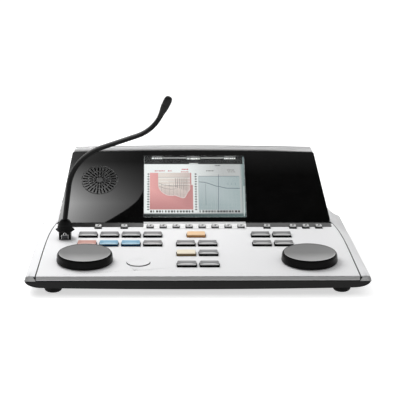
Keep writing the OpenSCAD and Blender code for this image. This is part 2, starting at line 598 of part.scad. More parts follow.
// ---- talk microphone: square socket with a release tab, plug with a domed boot, gooseneck
socket_h = 9.4;
barrel_d = 11;
pin_d = 6.3;
latch = [5.4, 2.8];                     // width and height of the release tab
latch_h = 3.4;                          // height of its middle above the plate
boot_h = 22;
ball_seat = neck_d / 2 + 0.4;           // the neck's ball end sits in a hollow of the boot
neck_lean = 13;                         // the gooseneck's plane leans towards the front
neck_start = 7.5;                       // it starts this much to the right of upright
neck_rise = 41;
neck_turn = [58, 62.7];                 // radius and angle of the bend to the right
neck_mid = 40.4;
neck_return = [44.4, 46];               // radius and angle of the bend back up
boot_top = [mic_at[0], mic_at[1] * cos(desk_slope) - boot_h * sin(desk_slope),
            desk_z(mic_at[1] * cos(desk_slope)) + boot_h * cos(desk_slope)];
module at_mic() on_desk() translate([mic_at[0], mic_at[1], 0]) children();
module mic_socket() color([0.1, 0.1, 0.1]) at_mic() difference() {
    union() {
        box([-socket_w / 2, -socket_w / 2, 0], [socket_w / 2, socket_w / 2, socket_h]);
        translate([0, 0, -8]) cylinder(d = barrel_d, h = 9);
    }
    translate([0, 0, -7]) cylinder(d = pin_d + 0.1, h = socket_h + 8);
    box([-latch[0] / 2 - 0.3, -socket_w / 2 - over, latch_h - latch[1] / 2 - 0.3],
        [latch[0] / 2 + 0.3, -socket_w / 2 + 2.8, latch_h + latch[1] / 2 + 0.3]);
}
module mic_latch() color("silver") at_mic()
    box([-latch[0] / 2, -socket_w / 2 - 0.9, latch_h - latch[1] / 2],
        [latch[0] / 2, -socket_w / 2 + 1.3, latch_h + latch[1] / 2]);
module mic_plug() color([0.06, 0.06, 0.06]) at_mic() rotate_extrude($fn = 64)
    polygon(concat([[0, -6], [pin_d / 2, -6], [pin_d / 2, socket_h + 0.2], [10.4, socket_h + 0.2],
             [10.6, socket_h + 1.4], [8.6, socket_h + 1.8], [8.5, 14], [8.0, 16.6], [6.6, 19.2],
             [5.0, 21], [4.4, boot_h - 0.5]],
            [for (a = [10:10:90]) [ball_seat * cos(a), boot_h - ball_seat * sin(a)]]));

module in_neck_plane() place() translate(boot_top) rotate([90 + neck_lean, 0, 0])
    rotate([0, 0, -neck_start]) children();
module neck_line(length) rotate([-90, 0, 0]) cylinder(d = neck_d, h = length, $fn = 32);
module neck_bend(bend) translate([bend[0], 0, 0]) rotate([0, 0, 180 - bend[1]])
    rotate_extrude(angle = bend[1], $fn = 96) translate([bend[0], 0]) circle(d = neck_d, $fn = 32);
module past_bend(bend) translate([bend[0] * (1 - cos(bend[1])), bend[0] * sin(bend[1]), 0])
    rotate([0, 0, -bend[1]]) children();
module neck_ball() sphere(d = neck_d, $fn = 32);
module neck_core() translate([0, -2, 0]) rotate([-90, 0, 0]) cylinder(d = neck_d - 2, h = 4, $fn = 32);
ball_room = neck_d / 2 + 0.3;
module gooseneck_lower() color([0.09, 0.09, 0.09]) in_neck_plane() {
    neck_ball();
    neck_line(neck_rise);
    translate([0, neck_rise, 0]) {
        neck_core();
        neck_bend(neck_turn);
        past_bend(neck_turn) {
            neck_core();
            neck_line(neck_mid / 2 - ball_room);
        }
    }
}
module gooseneck_upper() color([0.09, 0.09, 0.09]) in_neck_plane() translate([0, neck_rise, 0])
    past_bend(neck_turn) translate([0, neck_mid / 2, 0]) {
        neck_ball();
        neck_line(neck_mid / 2);
        translate([0, neck_mid / 2, 0]) {
            neck_core();
            mirror([1, 0, 0]) neck_bend(neck_return);
        }
    }
module mic_capsule() color([0.07, 0.07, 0.07]) in_neck_plane() translate([0, neck_rise, 0])
    past_bend(neck_turn) translate([0, neck_mid, 0]) mirror([1, 0, 0]) past_bend(neck_return)
        rotate([-90, 0, 0]) rotate_extrude($fn = 48) polygon(concat(
            [[0, 0.05], [neck_d / 2 + 0.2, 0.05], [capsule_d / 2 - 0.3, 9], [capsule_d / 2, 12]],
            [for (a = [0:15:90]) [capsule_d / 2 * cos(a), capsule_len - 3 + 3 * sin(a)]]));

base_tub();
desk_plate();
left_cheek();
right_cheek();
display_panel();
crown_rail();
rear_housing();
key_strip();
legend_strip();
rubber_feet();
case_screws();
left_key(0);  // key_left_a1
left_key(1);  // key_left_a2
left_key(2);  // key_left_a3
left_key(3);  // key_left_a4
left_key(4);  // key_left_b1
left_key(5);  // key_left_b2
left_key(6);  // key_left_b3
left_key(7);  // key_left_b4
mid_key(0);  // key_mid_a1
mid_key(1);  // key_mid_b1
mid_key(2);  // key_mid_b2
mid_key(3);  // key_mid_c1
mid_key(4);  // key_mid_c2
mid_key(5);  // key_mid_d1
mid_key(6);  // key_mid_d2
right_key(0);  // key_right_a1
right_key(1);  // key_right_a2
right_key(2);  // key_right_b1
right_key(3);  // key_right_b2
fkey(0);  // fkey_01
fkey(1);  // fkey_02
fkey(2);  // fkey_03
fkey(3);  // fkey_04
fkey(4);  // fkey_05
fkey(5);  // fkey_06
fkey(6);  // fkey_07
fkey(7);  // fkey_08
fkey(8);  // fkey_09
fkey(9);  // fkey_10
fkey(10);  // fkey_11
fkey(11);  // fkey_12
fkey(12);  // fkey_13
fkey(13);  // fkey_14
tone_switch();
dial_left();
dial_right();
power_switch();
mic_socket();
mic_latch();
mic_plug();
gooseneck_lower();
gooseneck_upper();
mic_capsule();
display_window();
display_module();
loudspeaker();
dial_encoders();
circuit_boards();
rear_sockets();
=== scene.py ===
"""A desktop diagnostic audiometer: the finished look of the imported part.

The sections follow the object as it is put together, from the tub on its feet to the
sockets in the rear wall. Sizes are in millimetres. Places in the room, such as the view's,
and those that a material reads are in metres.
"""

import math
import random

import bpy
from mathutils import Matrix, Vector


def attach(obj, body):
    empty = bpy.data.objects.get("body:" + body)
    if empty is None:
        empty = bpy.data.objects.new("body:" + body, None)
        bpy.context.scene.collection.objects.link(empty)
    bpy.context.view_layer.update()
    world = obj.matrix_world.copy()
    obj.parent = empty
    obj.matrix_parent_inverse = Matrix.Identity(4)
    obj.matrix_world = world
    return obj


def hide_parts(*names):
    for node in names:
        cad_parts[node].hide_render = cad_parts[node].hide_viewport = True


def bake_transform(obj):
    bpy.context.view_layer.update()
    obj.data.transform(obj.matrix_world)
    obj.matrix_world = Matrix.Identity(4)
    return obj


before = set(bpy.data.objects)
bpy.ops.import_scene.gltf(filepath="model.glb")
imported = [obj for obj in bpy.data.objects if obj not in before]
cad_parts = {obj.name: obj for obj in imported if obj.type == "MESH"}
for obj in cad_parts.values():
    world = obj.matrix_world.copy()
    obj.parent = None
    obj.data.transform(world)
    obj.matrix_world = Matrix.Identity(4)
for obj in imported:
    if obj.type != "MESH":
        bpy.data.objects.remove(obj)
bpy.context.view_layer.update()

# ---------------------------------------------------------------- the view
# A long lens 1.7 m in front of the desk, a little left of its middle and looking down
# by 12 degrees. Its place and turn were fitted to the outline of the real piece.
VIEW_PLACE = Vector((-0.0423, -1.6967, 0.4439))
VIEW_YAW, VIEW_PITCH, VIEW_ROLL = 0.02809, 0.21611, 0.00538
LENS_MM = 137.7

view = bpy.data.objects.new("view", bpy.data.cameras.new("view"))
bpy.context.scene.collection.objects.link(view)
view.data.lens = LENS_MM
view.data.sensor_width = 36
view.data.clip_end = 200
ahead = Vector((math.sin(VIEW_YAW) * math.cos(VIEW_PITCH),
                math.cos(VIEW_YAW) * math.cos(VIEW_PITCH), -math.sin(VIEW_PITCH)))
level = Vector((math.cos(VIEW_YAW), -math.sin(VIEW_YAW), 0))
upright = level.cross(ahead)
to_right = math.cos(VIEW_ROLL) * level + math.sin(VIEW_ROLL) * upright
to_top = math.cos(VIEW_ROLL) * upright - math.sin(VIEW_ROLL) * level
view.matrix_world = Matrix.Translation(VIEW_PLACE) @ Matrix(
    (to_right, to_top, -ahead)).transposed().to_4x4()
bpy.context.scene.camera = view
bpy.context.scene.view_settings.view_transform = "Standard"

# ---------------------------------------------------------------- the studio
# A white table top under a soft sky: bright at the horizon, dark straight overhead, so that
# the glossy fascia mirrors black, apart from one large grey card hung above its left part.
MM = 0.001
FASCIA = Matrix.Translation((0, 0.02351, 0.03827)) @ Matrix.Rotation(math.radians(40.3), 4, "X")


def step(tree, kind, feeds=None, **settings):
    """Adds one node to a material. feeds maps a socket to a value or to another socket."""
    node = tree.nodes.new("ShaderNode" + kind)
    for setting, value in settings.items():
        setattr(node, setting, value)
    for socket, value in (feeds or {}).items():
        if isinstance(value, bpy.types.NodeSocket):
            tree.links.new(value, node.inputs[socket])
        else:
            node.inputs[socket].default_value = value
    return node


def sums(tree, operation, *terms):
    """One arithmetic step on values or sockets."""
    return step(tree, "Math", dict(enumerate(terms)), operation=operation).outputs[0]


def ramp(tree, value, stops):
    """A grey level that runs through (position, level) stops."""
    node = step(tree, "ValToRGB", {0: value})
    steps = node.color_ramp.elements
    while len(steps) < len(stops):
        steps.new(0.5)
    for element, (place, grey) in zip(steps, stops):
        element.position = place
        element.color = (grey, grey, grey, 1)
    return node.outputs[0]


sky = bpy.data.worlds.new("studio")
bpy.context.scene.world = sky
sky.use_nodes = True
sky.node_tree.nodes.clear()
tree = sky.node_tree
heading = step(tree, "SeparateXYZ", {0: step(tree, "TexCoord").outputs["Generated"]})
height = sums(tree, "MAXIMUM", heading.outputs[2], 0.0)
soft = ramp(tree, height, [(0, 0.36), (0.35, 0.42), (1, 0.68)])
from_right = sums(tree, "MULTIPLY_ADD", heading.outputs[0], 0.5, 1.0)
from_back = sums(tree, "MULTIPLY_ADD", heading.outputs[1], 0.22, from_right)
soft = sums(tree, "MULTIPLY", soft, from_back)
mirrored = ramp(tree, height, [(0, 0.95), (0.42, 0.9), (0.68, 0.06), (0.8, 0.012)])
overhead = step(tree, "MapRange", {0: height, 1: 0.9, 2: 0.97})
above_edge = step(tree, "MapRange", {0: heading.outputs[1], 1: -0.036, 2: -0.018, 4: 0.22})
mirrored = sums(tree, "MULTIPLY_ADD", overhead.outputs[0], above_edge.outputs[0], mirrored)
rays = step(tree, "LightPath")
seen = step(tree, "Mix", {0: rays.outputs["Is Glossy Ray"], 2: soft, 3: mirrored})
clear = sums(tree, "MAXIMUM", rays.outputs["Is Camera Ray"], rays.outputs["Is Transmission Ray"])
shown = step(tree, "Mix", {0: clear, 2: seen.outputs[0], 3: 1.0})
backdrop = step(tree, "Background", {0: (1, 1, 1, 1), 1: shown.outputs[0]})
tree.links.new(backdrop.outputs[0], step(tree, "OutputWorld").inputs[0])

table_mesh = bpy.data.meshes.new("table_top")
table_mesh.from_pydata([(-30, -30, 0), (30, -30, 0), (30, 30, 0), (-30, 30, 0)], [], [(0, 1, 2, 3)])
table_top = bpy.data.objects.new("table_top", table_mesh)
bpy.context.scene.collection.objects.link(table_top)
table_finish = bpy.data.materials.new("table_white")
table_finish.use_nodes = True
tree = table_finish.node_tree
tree.nodes.clear()
rays = step(tree, "LightPath")
seen_by = sums(tree, "MAXIMUM", rays.outputs["Is Glossy Ray"], rays.outputs["Is Transmission Ray"])
seen_by = sums(tree, "MAXIMUM", rays.outputs["Is Camera Ray"], seen_by)
lifted = sums(tree, "MULTIPLY", seen_by, 0.62)
matt = step(tree, "BsdfDiffuse", {"Color": (0.86, 0.86, 0.86, 1)})
lift = step(tree, "Emission", {"Strength": lifted})
both = step(tree, "AddShader", {0: matt.outputs[0], 1: lift.outputs[0]})
tree.links.new(both.outputs[0], step(tree, "OutputMaterial").inputs[0])
table_mesh.materials.append(table_finish)

# one square soft box at the back left lights the piece, and isn't mirrored in it
LAMP_PLACE, LAMP_AIM = Vector((-0.34, 0.24, 0.64)), Vector((-0.05, 0, 0.03))
lamp = bpy.data.objects.new("lamp_back_left", bpy.data.lights.new("lamp_back_left", "AREA"))
lamp.data.size = 0.5
lamp.data.energy = 4.3
lamp.location = LAMP_PLACE
lamp.rotation_euler = (LAMP_AIM - LAMP_PLACE).to_track_quat("-Z", "Y").to_euler()
lamp.visible_glossy = False
lamp.visible_camera = False
bpy.context.scene.collection.objects.link(lamp)

# the grey card: its rim is a line drawn on the fascia, thrown up by the fascia's own mirror
CARD_HEIGHT = 1.1
FASCIA_PROUD = 0.8
card_rim = [(-14, -118), (1.6, -103.5), (4.5, -99.2), (8.8, -93.2), (13.1, -87.5), (17.5, -82),
            (21.8, -77), (26.2, -72.4), (30.6, -68.3), (35, -65.2), (39.4, -62.9), (43.8, -61),
            (48.2, -59.4), (52.7, -58.4), (60, -57), (90, -55), (122, -54)]
# its left end, and the span and start that map x and s on the fascia to its 0-1 square
CARD_FROM, CARD_SPAN, CARD_LOW, CARD_RISE = -196, 200, 20, 150
CARD_COLUMNS, CARD_STEPS = 12, 3


def thrown_up(x, s):
    """Where the card shows at a point of the fascia, as the view sees it."""
    here = FASCIA @ Vector((x * MM, s * MM, FASCIA_PROUD * MM))
    face = (FASCIA.to_3x3() @ Vector((0, 0, 1))).normalized()
    ray = (here - VIEW_PLACE).normalized()
    bounced = ray - 2 * ray.dot(face) * face
    return here + bounced * ((CARD_HEIGHT - here.z) / bounced.z)


card_rows = []
for (s0, x0), (s1, x1) in zip(card_rim, card_rim[1:]):
    card_rows += [(s0 + (s1 - s0) * k / CARD_STEPS, x0 + (x1 - x0) * k / CARD_STEPS)
                  for k in range(CARD_STEPS)]
card_points = [thrown_up(CARD_FROM + (x - CARD_FROM) * k / CARD_COLUMNS, s)
               for s, x in card_rows for k in range(CARD_COLUMNS + 1)]
row_points = CARD_COLUMNS + 1
card_mesh = bpy.data.meshes.new("grey_card")
card_mesh.from_pydata(card_points, [], [
    (r * row_points + k, r * row_points + k + 1,
     (r + 1) * row_points + k + 1, (r + 1) * row_points + k)
    for r in range(len(card_rows) - 1) for k in range(CARD_COLUMNS)])
card_map = card_mesh.uv_layers.new(name="drawn_on_fascia")
for loop in card_mesh.loops:
    row, k = divmod(loop.vertex_index, row_points)
    s, x = card_rows[row]
    across_card = CARD_FROM + (x - CARD_FROM) * k / CARD_COLUMNS
    card_map.data[loop.index].uv = ((across_card + CARD_SPAN) / CARD_SPAN,
                                    (s + CARD_LOW) / CARD_RISE)
grey_card = bpy.data.objects.new("grey_card", card_mesh)
bpy.context.scene.collection.objects.link(grey_card)
for kind in ("camera", "diffuse", "shadow", "transmission"):
    setattr(grey_card, "visible_" + kind, False)
card_light = bpy.data.materials.new("card_light")
card_light.use_nodes = True
tree = card_light.node_tree
tree.nodes.clear()
on_fascia = step(tree, "SeparateXYZ", {0: step(tree, "UVMap", uv_map="drawn_on_fascia").outputs[0]})
across = sums(tree, "POWER", 2.718, sums(tree, "MULTIPLY_ADD", on_fascia.outputs[0], -4.5, 1.35))
along = ramp(tree, on_fascia.outputs[1], [(0.06, 0.62), (0.33, 1.0), (0.55, 0.48), (0.74, 0.12)])
glow = sums(tree, "MULTIPLY", sums(tree, "MULTIPLY", across, along), 7.5)
card_glow = step(tree, "Emission", {"Strength": glow})
tree.links.new(card_glow.outputs[0], step(tree, "OutputMaterial").inputs[0])
card_mesh.materials.append(card_light)

# ---------------------------------------------------------------- the tub
# One shallow moulding in black ABS with a fine spark-eroded grain and swept-up ends. It
# carries everything else. A grain, paler edges and a film of dust finish every surface; the
# paler edges are wear on some finishes and a painted highlight on others.


def blended(tree, share, first, second):
    """A colour between two colours."""
    node = step(tree, "Mix", {0: share, 6: first, 7: second}, data_type="RGBA")
    return node.outputs[2]


def tinted(red, green, blue):
    """An RGBA colour from three 0-255 levels of a print or a paint chart."""
    return tuple((c / 255 / 12.92 if c <= 10.3 else ((c / 255 + 0.055) / 1.055) ** 2.4)
                 for c in (red, green, blue)) + (1,)


def effect(name, inputs, outputs):
    """An empty node group for an effect that several finishes share."""
    group = bpy.data.node_groups.new(name, "ShaderNodeTree")
    for label, value in inputs.items():
        group.interface.new_socket(name=label, in_out="INPUT",
                                   socket_type="NodeSocketFloat").default_value = value
    for label in outputs:
        group.interface.new_socket(name=label, in_out="OUTPUT", socket_type="NodeSocketFloat")
    return group, group.nodes.new("NodeGroupInput"), group.nodes.new("NodeGroupOutput")


grain_effect, given, result = effect(
    "moulded_grain", {"Grain mm": 0.5, "Stretch": 1.0}, ("Height", "Cloud"))
where = step(grain_effect, "TexCoord").outputs["Object"]
pulled = step(grain_effect, "CombineXYZ", {0: given.outputs["Stretch"], 1: 1.0, 2: 1.0})
stretched = step(grain_effect, "VectorMath", {0: where, 1: pulled.outputs[0]}, operation="MULTIPLY")
pitch = sums(grain_effect, "DIVIDE", 1000.0, given.outputs["Grain mm"])
fine = step(grain_effect, "TexNoise", {"Vector": stretched.outputs[0], "Scale": pitch,
                                       "Detail": 2.0})
cloud = step(grain_effect, "TexNoise", {"Vector": where, "Scale": 22.0, "Detail": 3.0})
grain_effect.links.new(fine.outputs[0], result.inputs["Height"])
grain_effect.links.new(cloud.outputs[0], result.inputs["Cloud"])

# paler edges: wear on some finishes, a painted highlight on others
edge_wear_and_highlight, given, result = effect("pale_edges_wear_and_highlight", {"Reach mm": 0.6, "Worn": 0.5}, ("Mask",))
reach = sums(edge_wear_and_highlight, "MULTIPLY", given.outputs["Reach mm"], MM)
eased = step(edge_wear_and_highlight, "Bevel", {"Radius": reach}, samples=4)
flat = step(edge_wear_and_highlight, "NewGeometry")
facing = step(edge_wear_and_highlight, "VectorMath", {0: eased.outputs[0], 1: flat.outputs["Normal"]},
              operation="DOT_PRODUCT")
edge = step(edge_wear_and_highlight, "MapRange", {0: facing.outputs["Value"], 1: 0.995, 2: 0.90})
patchy = step(edge_wear_and_highlight, "TexNoise", {"Vector": step(edge_wear_and_highlight, "TexCoord").outputs["Object"],
                                       "Scale": 160.0, "Detail": 4.0})
broken = step(edge_wear_and_highlight, "MapRange", {0: patchy.outputs[0], 1: 0.38, 2: 0.62})
edge_paleness = sums(edge_wear_and_highlight, "MULTIPLY", edge.outputs[0],
            sums(edge_wear_and_highlight, "MULTIPLY", broken.outputs[0], given.outputs["Worn"]))
edge_wear_and_highlight.links.new(edge_paleness, result.inputs["Mask"])

dust_effect, given, result = effect("settled_dust", {"Amount": 0.1}, ("Mask",))
up = step(dust_effect, "SeparateXYZ", {0: step(dust_effect, "NewGeometry").outputs["Normal"]})
lying = step(dust_effect, "MapRange", {0: up.outputs[2], 1: 0.3, 2: 1.0})
drift = step(dust_effect, "TexNoise", {"Vector": step(dust_effect, "TexCoord").outputs["Object"],
                                       "Scale": 60.0, "Detail": 6.0, "Roughness": 0.7})
drifted = step(dust_effect, "MapRange", {0: drift.outputs[0], 1: 0.35, 2: 0.75})
dusty = sums(dust_effect, "MULTIPLY", lying.outputs[0],
             sums(dust_effect, "MULTIPLY", drifted.outputs[0], given.outputs["Amount"]))
dust_effect.links.new(dusty, result.inputs["Mask"])


def placed(tree, group, **values):
    """Puts a shared effect into a material with its own values."""
    node = tree.nodes.new("ShaderNodeGroup")
    node.node_tree = group
    for label, value in values.items():
        node.inputs[label.replace("_", " ")].default_value = value
    return node


def finish(name, colour, rough, grain=0.5, depth=0.02, stretch=1.0, metal=0.0, edge=None,
           edge_paleness=0.4, reach=0.5, dust=0.04, mottle=0.04, second=None, gloss=0.5):
    """A moulded, painted or plated finish with grain, paler edges and a little dust.
    The paler edges are wear on some finishes and a painted highlight on others.

    second is (colour, mask), where mask draws the share of a second colour on the surface,
    or (colour, mask, third colour), where it draws the shares of both.
    """
    material = bpy.data.materials.new(name)
    material.use_nodes = True
    tree = material.node_tree
    shader = tree.nodes["Principled BSDF"]
    grained = placed(tree, grain_effect, Grain_mm=grain, Stretch=stretch)
    base = colour
    if second:
        shares = second[1](tree)
        for share, tone in zip(shares if len(second) > 2 else [shares], (second[0], *second[2:])):
            base = blended(tree, share, base, tone)
    deeper = step(tree, "HueSaturation", {"Color": base, "Value": 1 - 2 * mottle})
    shade = blended(tree, grained.outputs["Cloud"], base, deeper.outputs[0])
    if edge:
        pale_edges = placed(tree, edge_wear_and_highlight, Reach_mm=reach, Worn=edge_paleness)
        shade = blended(tree, pale_edges.outputs[0], shade, edge)
    dusted = placed(tree, dust_effect, Amount=dust)
    shade = blended(tree, dusted.outputs[0], shade, (0.55, 0.54, 0.52, 1))
    tree.links.new(shade, shader.inputs["Base Color"])
    uneven = sums(tree, "MULTIPLY_ADD", grained.outputs["Cloud"], 0.3 * rough, 0.85 * rough)
    tree.links.new(sums(tree, "MULTIPLY_ADD", dusted.outputs[0], 0.5, uneven),
                   shader.inputs["Roughness"])
    bumps = step(tree, "Bump", {"Strength": 1.0, "Distance": depth * MM,
                                "Height": grained.outputs["Height"]})
    tree.links.new(bumps.outputs[0], shader.inputs["Normal"])
    shader.inputs["Metallic"].default_value = metal
    shader.inputs["Specular IOR Level"].default_value = gloss
    return material


def dress(node, material, ease=0.0, sharp=32):
    """Gives a carried CAD node its finish, and rounds its edges over by ease millimetres."""
    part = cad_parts[node]
    part.data.materials.clear()
    part.data.materials.append(material)
    joined = part.modifiers.new("joined", "WELD")
    joined.merge_threshold = 2e-6
    if ease:
        rounded = part.modifiers.new("rounded", "BEVEL")
        rounded.width = ease * MM
        rounded.segments = 3
        rounded.limit_method = "ANGLE"
        rounded.angle_limit = math.radians(sharp)
        rounded.use_clamp_overlap = False
        rounded.miter_outer = "MITER_ARC"
        rounded.face_strength_mode = "FSTR_ALL"
    weighed = part.modifiers.new("weighed", "WEIGHTED_NORMAL")
    weighed.keep_sharp = False
    weighed.use_face_influence = ease > 0


tub_black = finish("tub_black", tinted(20, 20, 20), 0.42, grain=0.35, depth=0.03,
                   edge=tinted(46, 46, 46), dust=0.03, gloss=0.2)
dress("base_tub", tub_black, ease=0.3)

# ---------------------------------------------------------------- the rubber feet
# Four turned rubber buttons, pressed into holes in the tub from below. Their flat tread is
# worn a little pale at its rim.
foot_rubber = finish("foot_rubber", tinted(24, 24, 24), 0.75, grain=0.25, depth=0.05,
                     edge=tinted(60, 60, 60), dust=0.1, gloss=0.2)
dress("rubber_feet", foot_rubber, ease=0.3, sharp=40)

# ---------------------------------------------------------------- the case screws
# Seven socket-head screws in plain steel hold the covers to the tub. They are driven in
# from below, and are seen from there only.
screw_steel = finish("screw_steel", tinted(150, 150, 148), 0.35, metal=1.0, grain=0.2,
                     depth=0.01, edge=tinted(200, 200, 198))
dress("case_screws", screw_steel, ease=0.15)

# ---------------------------------------------------------------- the silver covers
# Plate, cheeks and rear hump are one silver-white lacquer over moulded plastic, with a fine
# orange peel. The folded front band is painted a darker grey as shade, and the seam walls
# near-black as shade. A thin line on the band's lower lip keeps the silver as a painted
# highlight, and the edges are painted paler as a highlight.
SILVER = tinted(243, 243, 244)
# painted shade: the front band's darker grey, and a near-black for seam walls and side walls
BAND_SHADE_GREY = tinted(174, 174, 174)
SHADOW_GREY = tinted(16, 16, 16)
FOLD_Y, LIP_Z = -0.1472, 0.0180


def band_and_seam_shade(walls):
    """A colour rule: painted shade, grey on the folded front face and black in the seams, with a
    silver painted highlight line on the lip.

    walls says which faces stand in a seam: all upright ones, or those facing the middle.
    """
    def draw(tree):
        spot = step(tree, "SeparateXYZ", {0: step(tree, "TexCoord").outputs["Object"]})
        near = step(tree, "MapRange", {0: spot.outputs[1], 1: FOLD_Y, 2: FOLD_Y - 0.0002})
        normal = step(tree, "SeparateXYZ", {0: step(tree, "NewGeometry").outputs["Normal"]})
        # a thin line on the band's lower lip keeps the silver, as a painted highlight
        lip = step(tree, "MapRange", {0: spot.outputs[2], 1: LIP_Z, 2: LIP_Z - 0.0006})
        line = sums(tree, "MULTIPLY", lip.outputs[0], near.outputs[0])
        if walls == "all":
            face = step(tree, "MapRange", {0: normal.outputs[2], 1: 0.4, 2: 0.1})
            inner = sums(tree, "MULTIPLY", face.outputs[0],
                         sums(tree, "SUBTRACT", 1.0, near.outputs[0]))
        else:
            inward = sums(tree, "MULTIPLY", normal.outputs[0],
                          sums(tree, "SIGN", spot.outputs[0]))
            inner = step(tree, "MapRange", {0: inward, 1: -0.3, 2: -0.6}).outputs[0]
        return near.outputs[0], inner, line if walls == "all" else 0.0
    return draw


plate_silver = finish("plate_silver", SILVER, 0.5, grain=0.8, depth=0.004, mottle=0.006,
                      edge=tinted(250, 250, 250), edge_paleness=0.5, dust=0.01,
                      second=(BAND_SHADE_GREY, band_and_seam_shade("all"), SHADOW_GREY, SILVER), gloss=0.35)
# on the cheeks the band's ends get a lighter painted shade, and walls facing the middle are painted
# near-black as shade
cheek_silver = finish("cheek_silver", SILVER, 0.5, grain=0.8, depth=0.004, mottle=0.006,
                      edge=tinted(250, 250, 250), edge_paleness=0.3, dust=0.01, gloss=0.35,
                      second=(tinted(186, 186, 186), band_and_seam_shade("inner"), SHADOW_GREY, SILVER))
dress("desk_plate", plate_silver, ease=0.3)
dress("rear_housing", cheek_silver, ease=0.35)
for side in ("left", "right"):
    dress(side + "_cheek", cheek_silver)

# ---------------------------------------------------------------- the keys
# Nineteen silicone-damped ABS caps with a dished top. The top is sprayed in its own colour.
# Its slopes and front rim are painted lighter as a highlight, and the skirt is painted far
# darker as shade.
DESK = Matrix.Translation((0, -0.1475, 0.0218)) @ Matrix.Rotation(math.radians(5.5), 4, "X")
KEY_PITCH = 24.25
DIAL_X = 121.0
MID_X, RIGHT_INSET = 0.6, 0.8
KEY_ROWS = [129.55, 99.95, 68.55, 33.65]
KEY_SIZE, KEY_CORNER = (20.6, 13.2, 3.2), 1.9
TOP_FACES_UP = 0.42


def pad_ring(wide, deep, corner, inset, height, steps=6):
    """One closed ring: a rectangle with rounded corners, drawn in by inset."""
    half_w, half_d, r = wide / 2 - inset, deep / 2 - inset, max(corner - inset, 0.25)
    ring = []
    for k, (sx, sy) in enumerate(((1, 1), (-1, 1), (-1, -1), (1, -1))):
        for i in range(steps + 1):
            turn = math.radians(90 * k + 90 * i / steps)
            ring.append((sx * (half_w - r) + r * math.cos(turn),
                         sy * (half_d - r) + r * math.sin(turn), height))
    return ring


def skinned(name, rings, finishes, place, sharp=38, face_finish=None):
    """A closed skin through rings of equal count, in millimetres, set in place."""
    count = len(rings[0])
    points = [Vector(p) for ring in rings for p in ring]
    faces = [(r * count + k, r * count + (k + 1) % count,
              (r + 1) * count + (k + 1) % count, (r + 1) * count + k)
             for r in range(len(rings) - 1) for k in range(count)]
    for first, flip in ((0, True), ((len(rings) - 1) * count, False)):
        points.append(sum(points[first:first + count], Vector()) / count)
        hub = len(points) - 1
        for k in range(count):
            a, b = first + k, first + (k + 1) % count
            faces.append((b, a, hub) if flip else (a, b, hub))
    return made(name, points, faces, finishes, place, sharp, face_finish)


def made(name, points, faces, finishes, place, sharp=38, face_finish=None):
    """A mesh piece from points in millimetres, carried to its place and shaded smooth."""
    mesh = bpy.data.meshes.new(name)
    mesh.from_pydata([place @ (Vector(p) * MM) for p in points], [], faces)
    for material in finishes if isinstance(finishes, (list, tuple)) else [finishes]:
        mesh.materials.append(material)
    if face_finish:
        for face in mesh.polygons:
            face.material_index = face_finish(face)
    mesh.shade_smooth()
    mesh.set_sharp_from_angle(angle=math.radians(sharp))
    piece = bpy.data.objects.new(name, mesh)
    bpy.context.scene.collection.objects.link(piece)
    return piece


def key_skin(size, corner):
    """The rings of a key cap from its flange under the plate to its dished top."""
    wide, deep, high = size
    climb = [(-0.6, -3.6), (-0.6, -2.8), (0, -2.75), (0, high - 1.1), (0.06, high - 0.75),
             (0.22, high - 0.42), (0.48, high - 0.18), (0.85, high - 0.04), (1.3, high - 0.02),
             (2.1, high - 0.16), (3.2, high - 0.30), (4.6, high - 0.38)]
    climb = [(i, h) for i, h in climb if i < min(wide, deep) / 2 - 0.6]
    return [pad_ring(wide, deep, corner, inset, height) for inset, height in climb]


def towards(way, low, high):
    """A colour rule: the share of surface that faces a way, given in the plate's own axes."""
    way = DESK.to_3x3() @ Vector(way)

    def draw(tree):
        face = step(tree, "VectorMath", {0: step(tree, "NewGeometry").outputs["Normal"],
                                         1: tuple(way)}, operation="DOT_PRODUCT")
        return step(tree, "MapRange", {0: face.outputs["Value"], 1: low, 2: high}).outputs[0]
    return draw


def dished(tree):
    """A colour rule: where a dished top is painted lighter as a highlight: its slopes, most on the
    front side, and its front rim.
    """
    front = towards((0, 1, 0), 0.01, 0.06)(tree)
    back = sums(tree, "MULTIPLY", towards((0, -1, 0), 0.02, 0.12)(tree), 0.35)
    rim = towards((0, -1, 0), 0.14, 0.36)(tree)
    return sums(tree, "MAXIMUM", rim, sums(tree, "MAXIMUM", front, back))


def below_rim(face):
    """Picks the skirt finish, painted darker as shade, for the faces that stand up from the plate.
    """
    return 1 if face.normal.dot(DESK.to_3x3() @ Vector((0, 0, 1))) < TOP_FACES_UP else 0


# each tone: the sprayed top, the lighter tone painted as a highlight on its slopes and rim,
# and the skirt, painted darker as shade
KEY_TONES = {"grey": ((134, 134, 135), (226, 226, 226), (3, 3, 3)),
             "pink": ((214, 160, 150), (244, 208, 198), (92, 54, 50)),
             "blue": ((134, 180, 208), (208, 240, 255), (20, 50, 76)),
             "orange": ((250, 212, 168), (250, 212, 168), (176, 128, 84)),
             "cream": ((252, 242, 220), (252, 240, 216), (122, 104, 76))}
key_finishes = {}
for tone, (top, painted_highlight, skirt) in KEY_TONES.items():
    key_finishes[tone] = [
        finish("key_" + tone, tinted(*top), 0.36, grain=0.4, depth=0.012, dust=0.02,
               edge=tinted(*painted_highlight), edge_paleness=0.9, reach=0.5,
               second=(tinted(*painted_highlight), dished)),
        finish("key_shaded_skirt_" + tone, tinted(*skirt), 0.55, grain=0.4, depth=0.012, dust=0.0,
               gloss=0.08)]
key_places = {}
for row, letter in enumerate("ab"):
    for k in range(4):
        key_places["key_left_%s%d" % (letter, k + 1)] = (-DIAL_X + k * KEY_PITCH, KEY_ROWS[row])
    for k in range(2):
        key_places["key_right_%s%d" % (letter, k + 1)] = (
            DIAL_X + RIGHT_INSET - (2 - k) * KEY_PITCH, KEY_ROWS[row])
key_places["key_mid_a1"] = (MID_X, KEY_ROWS[0])
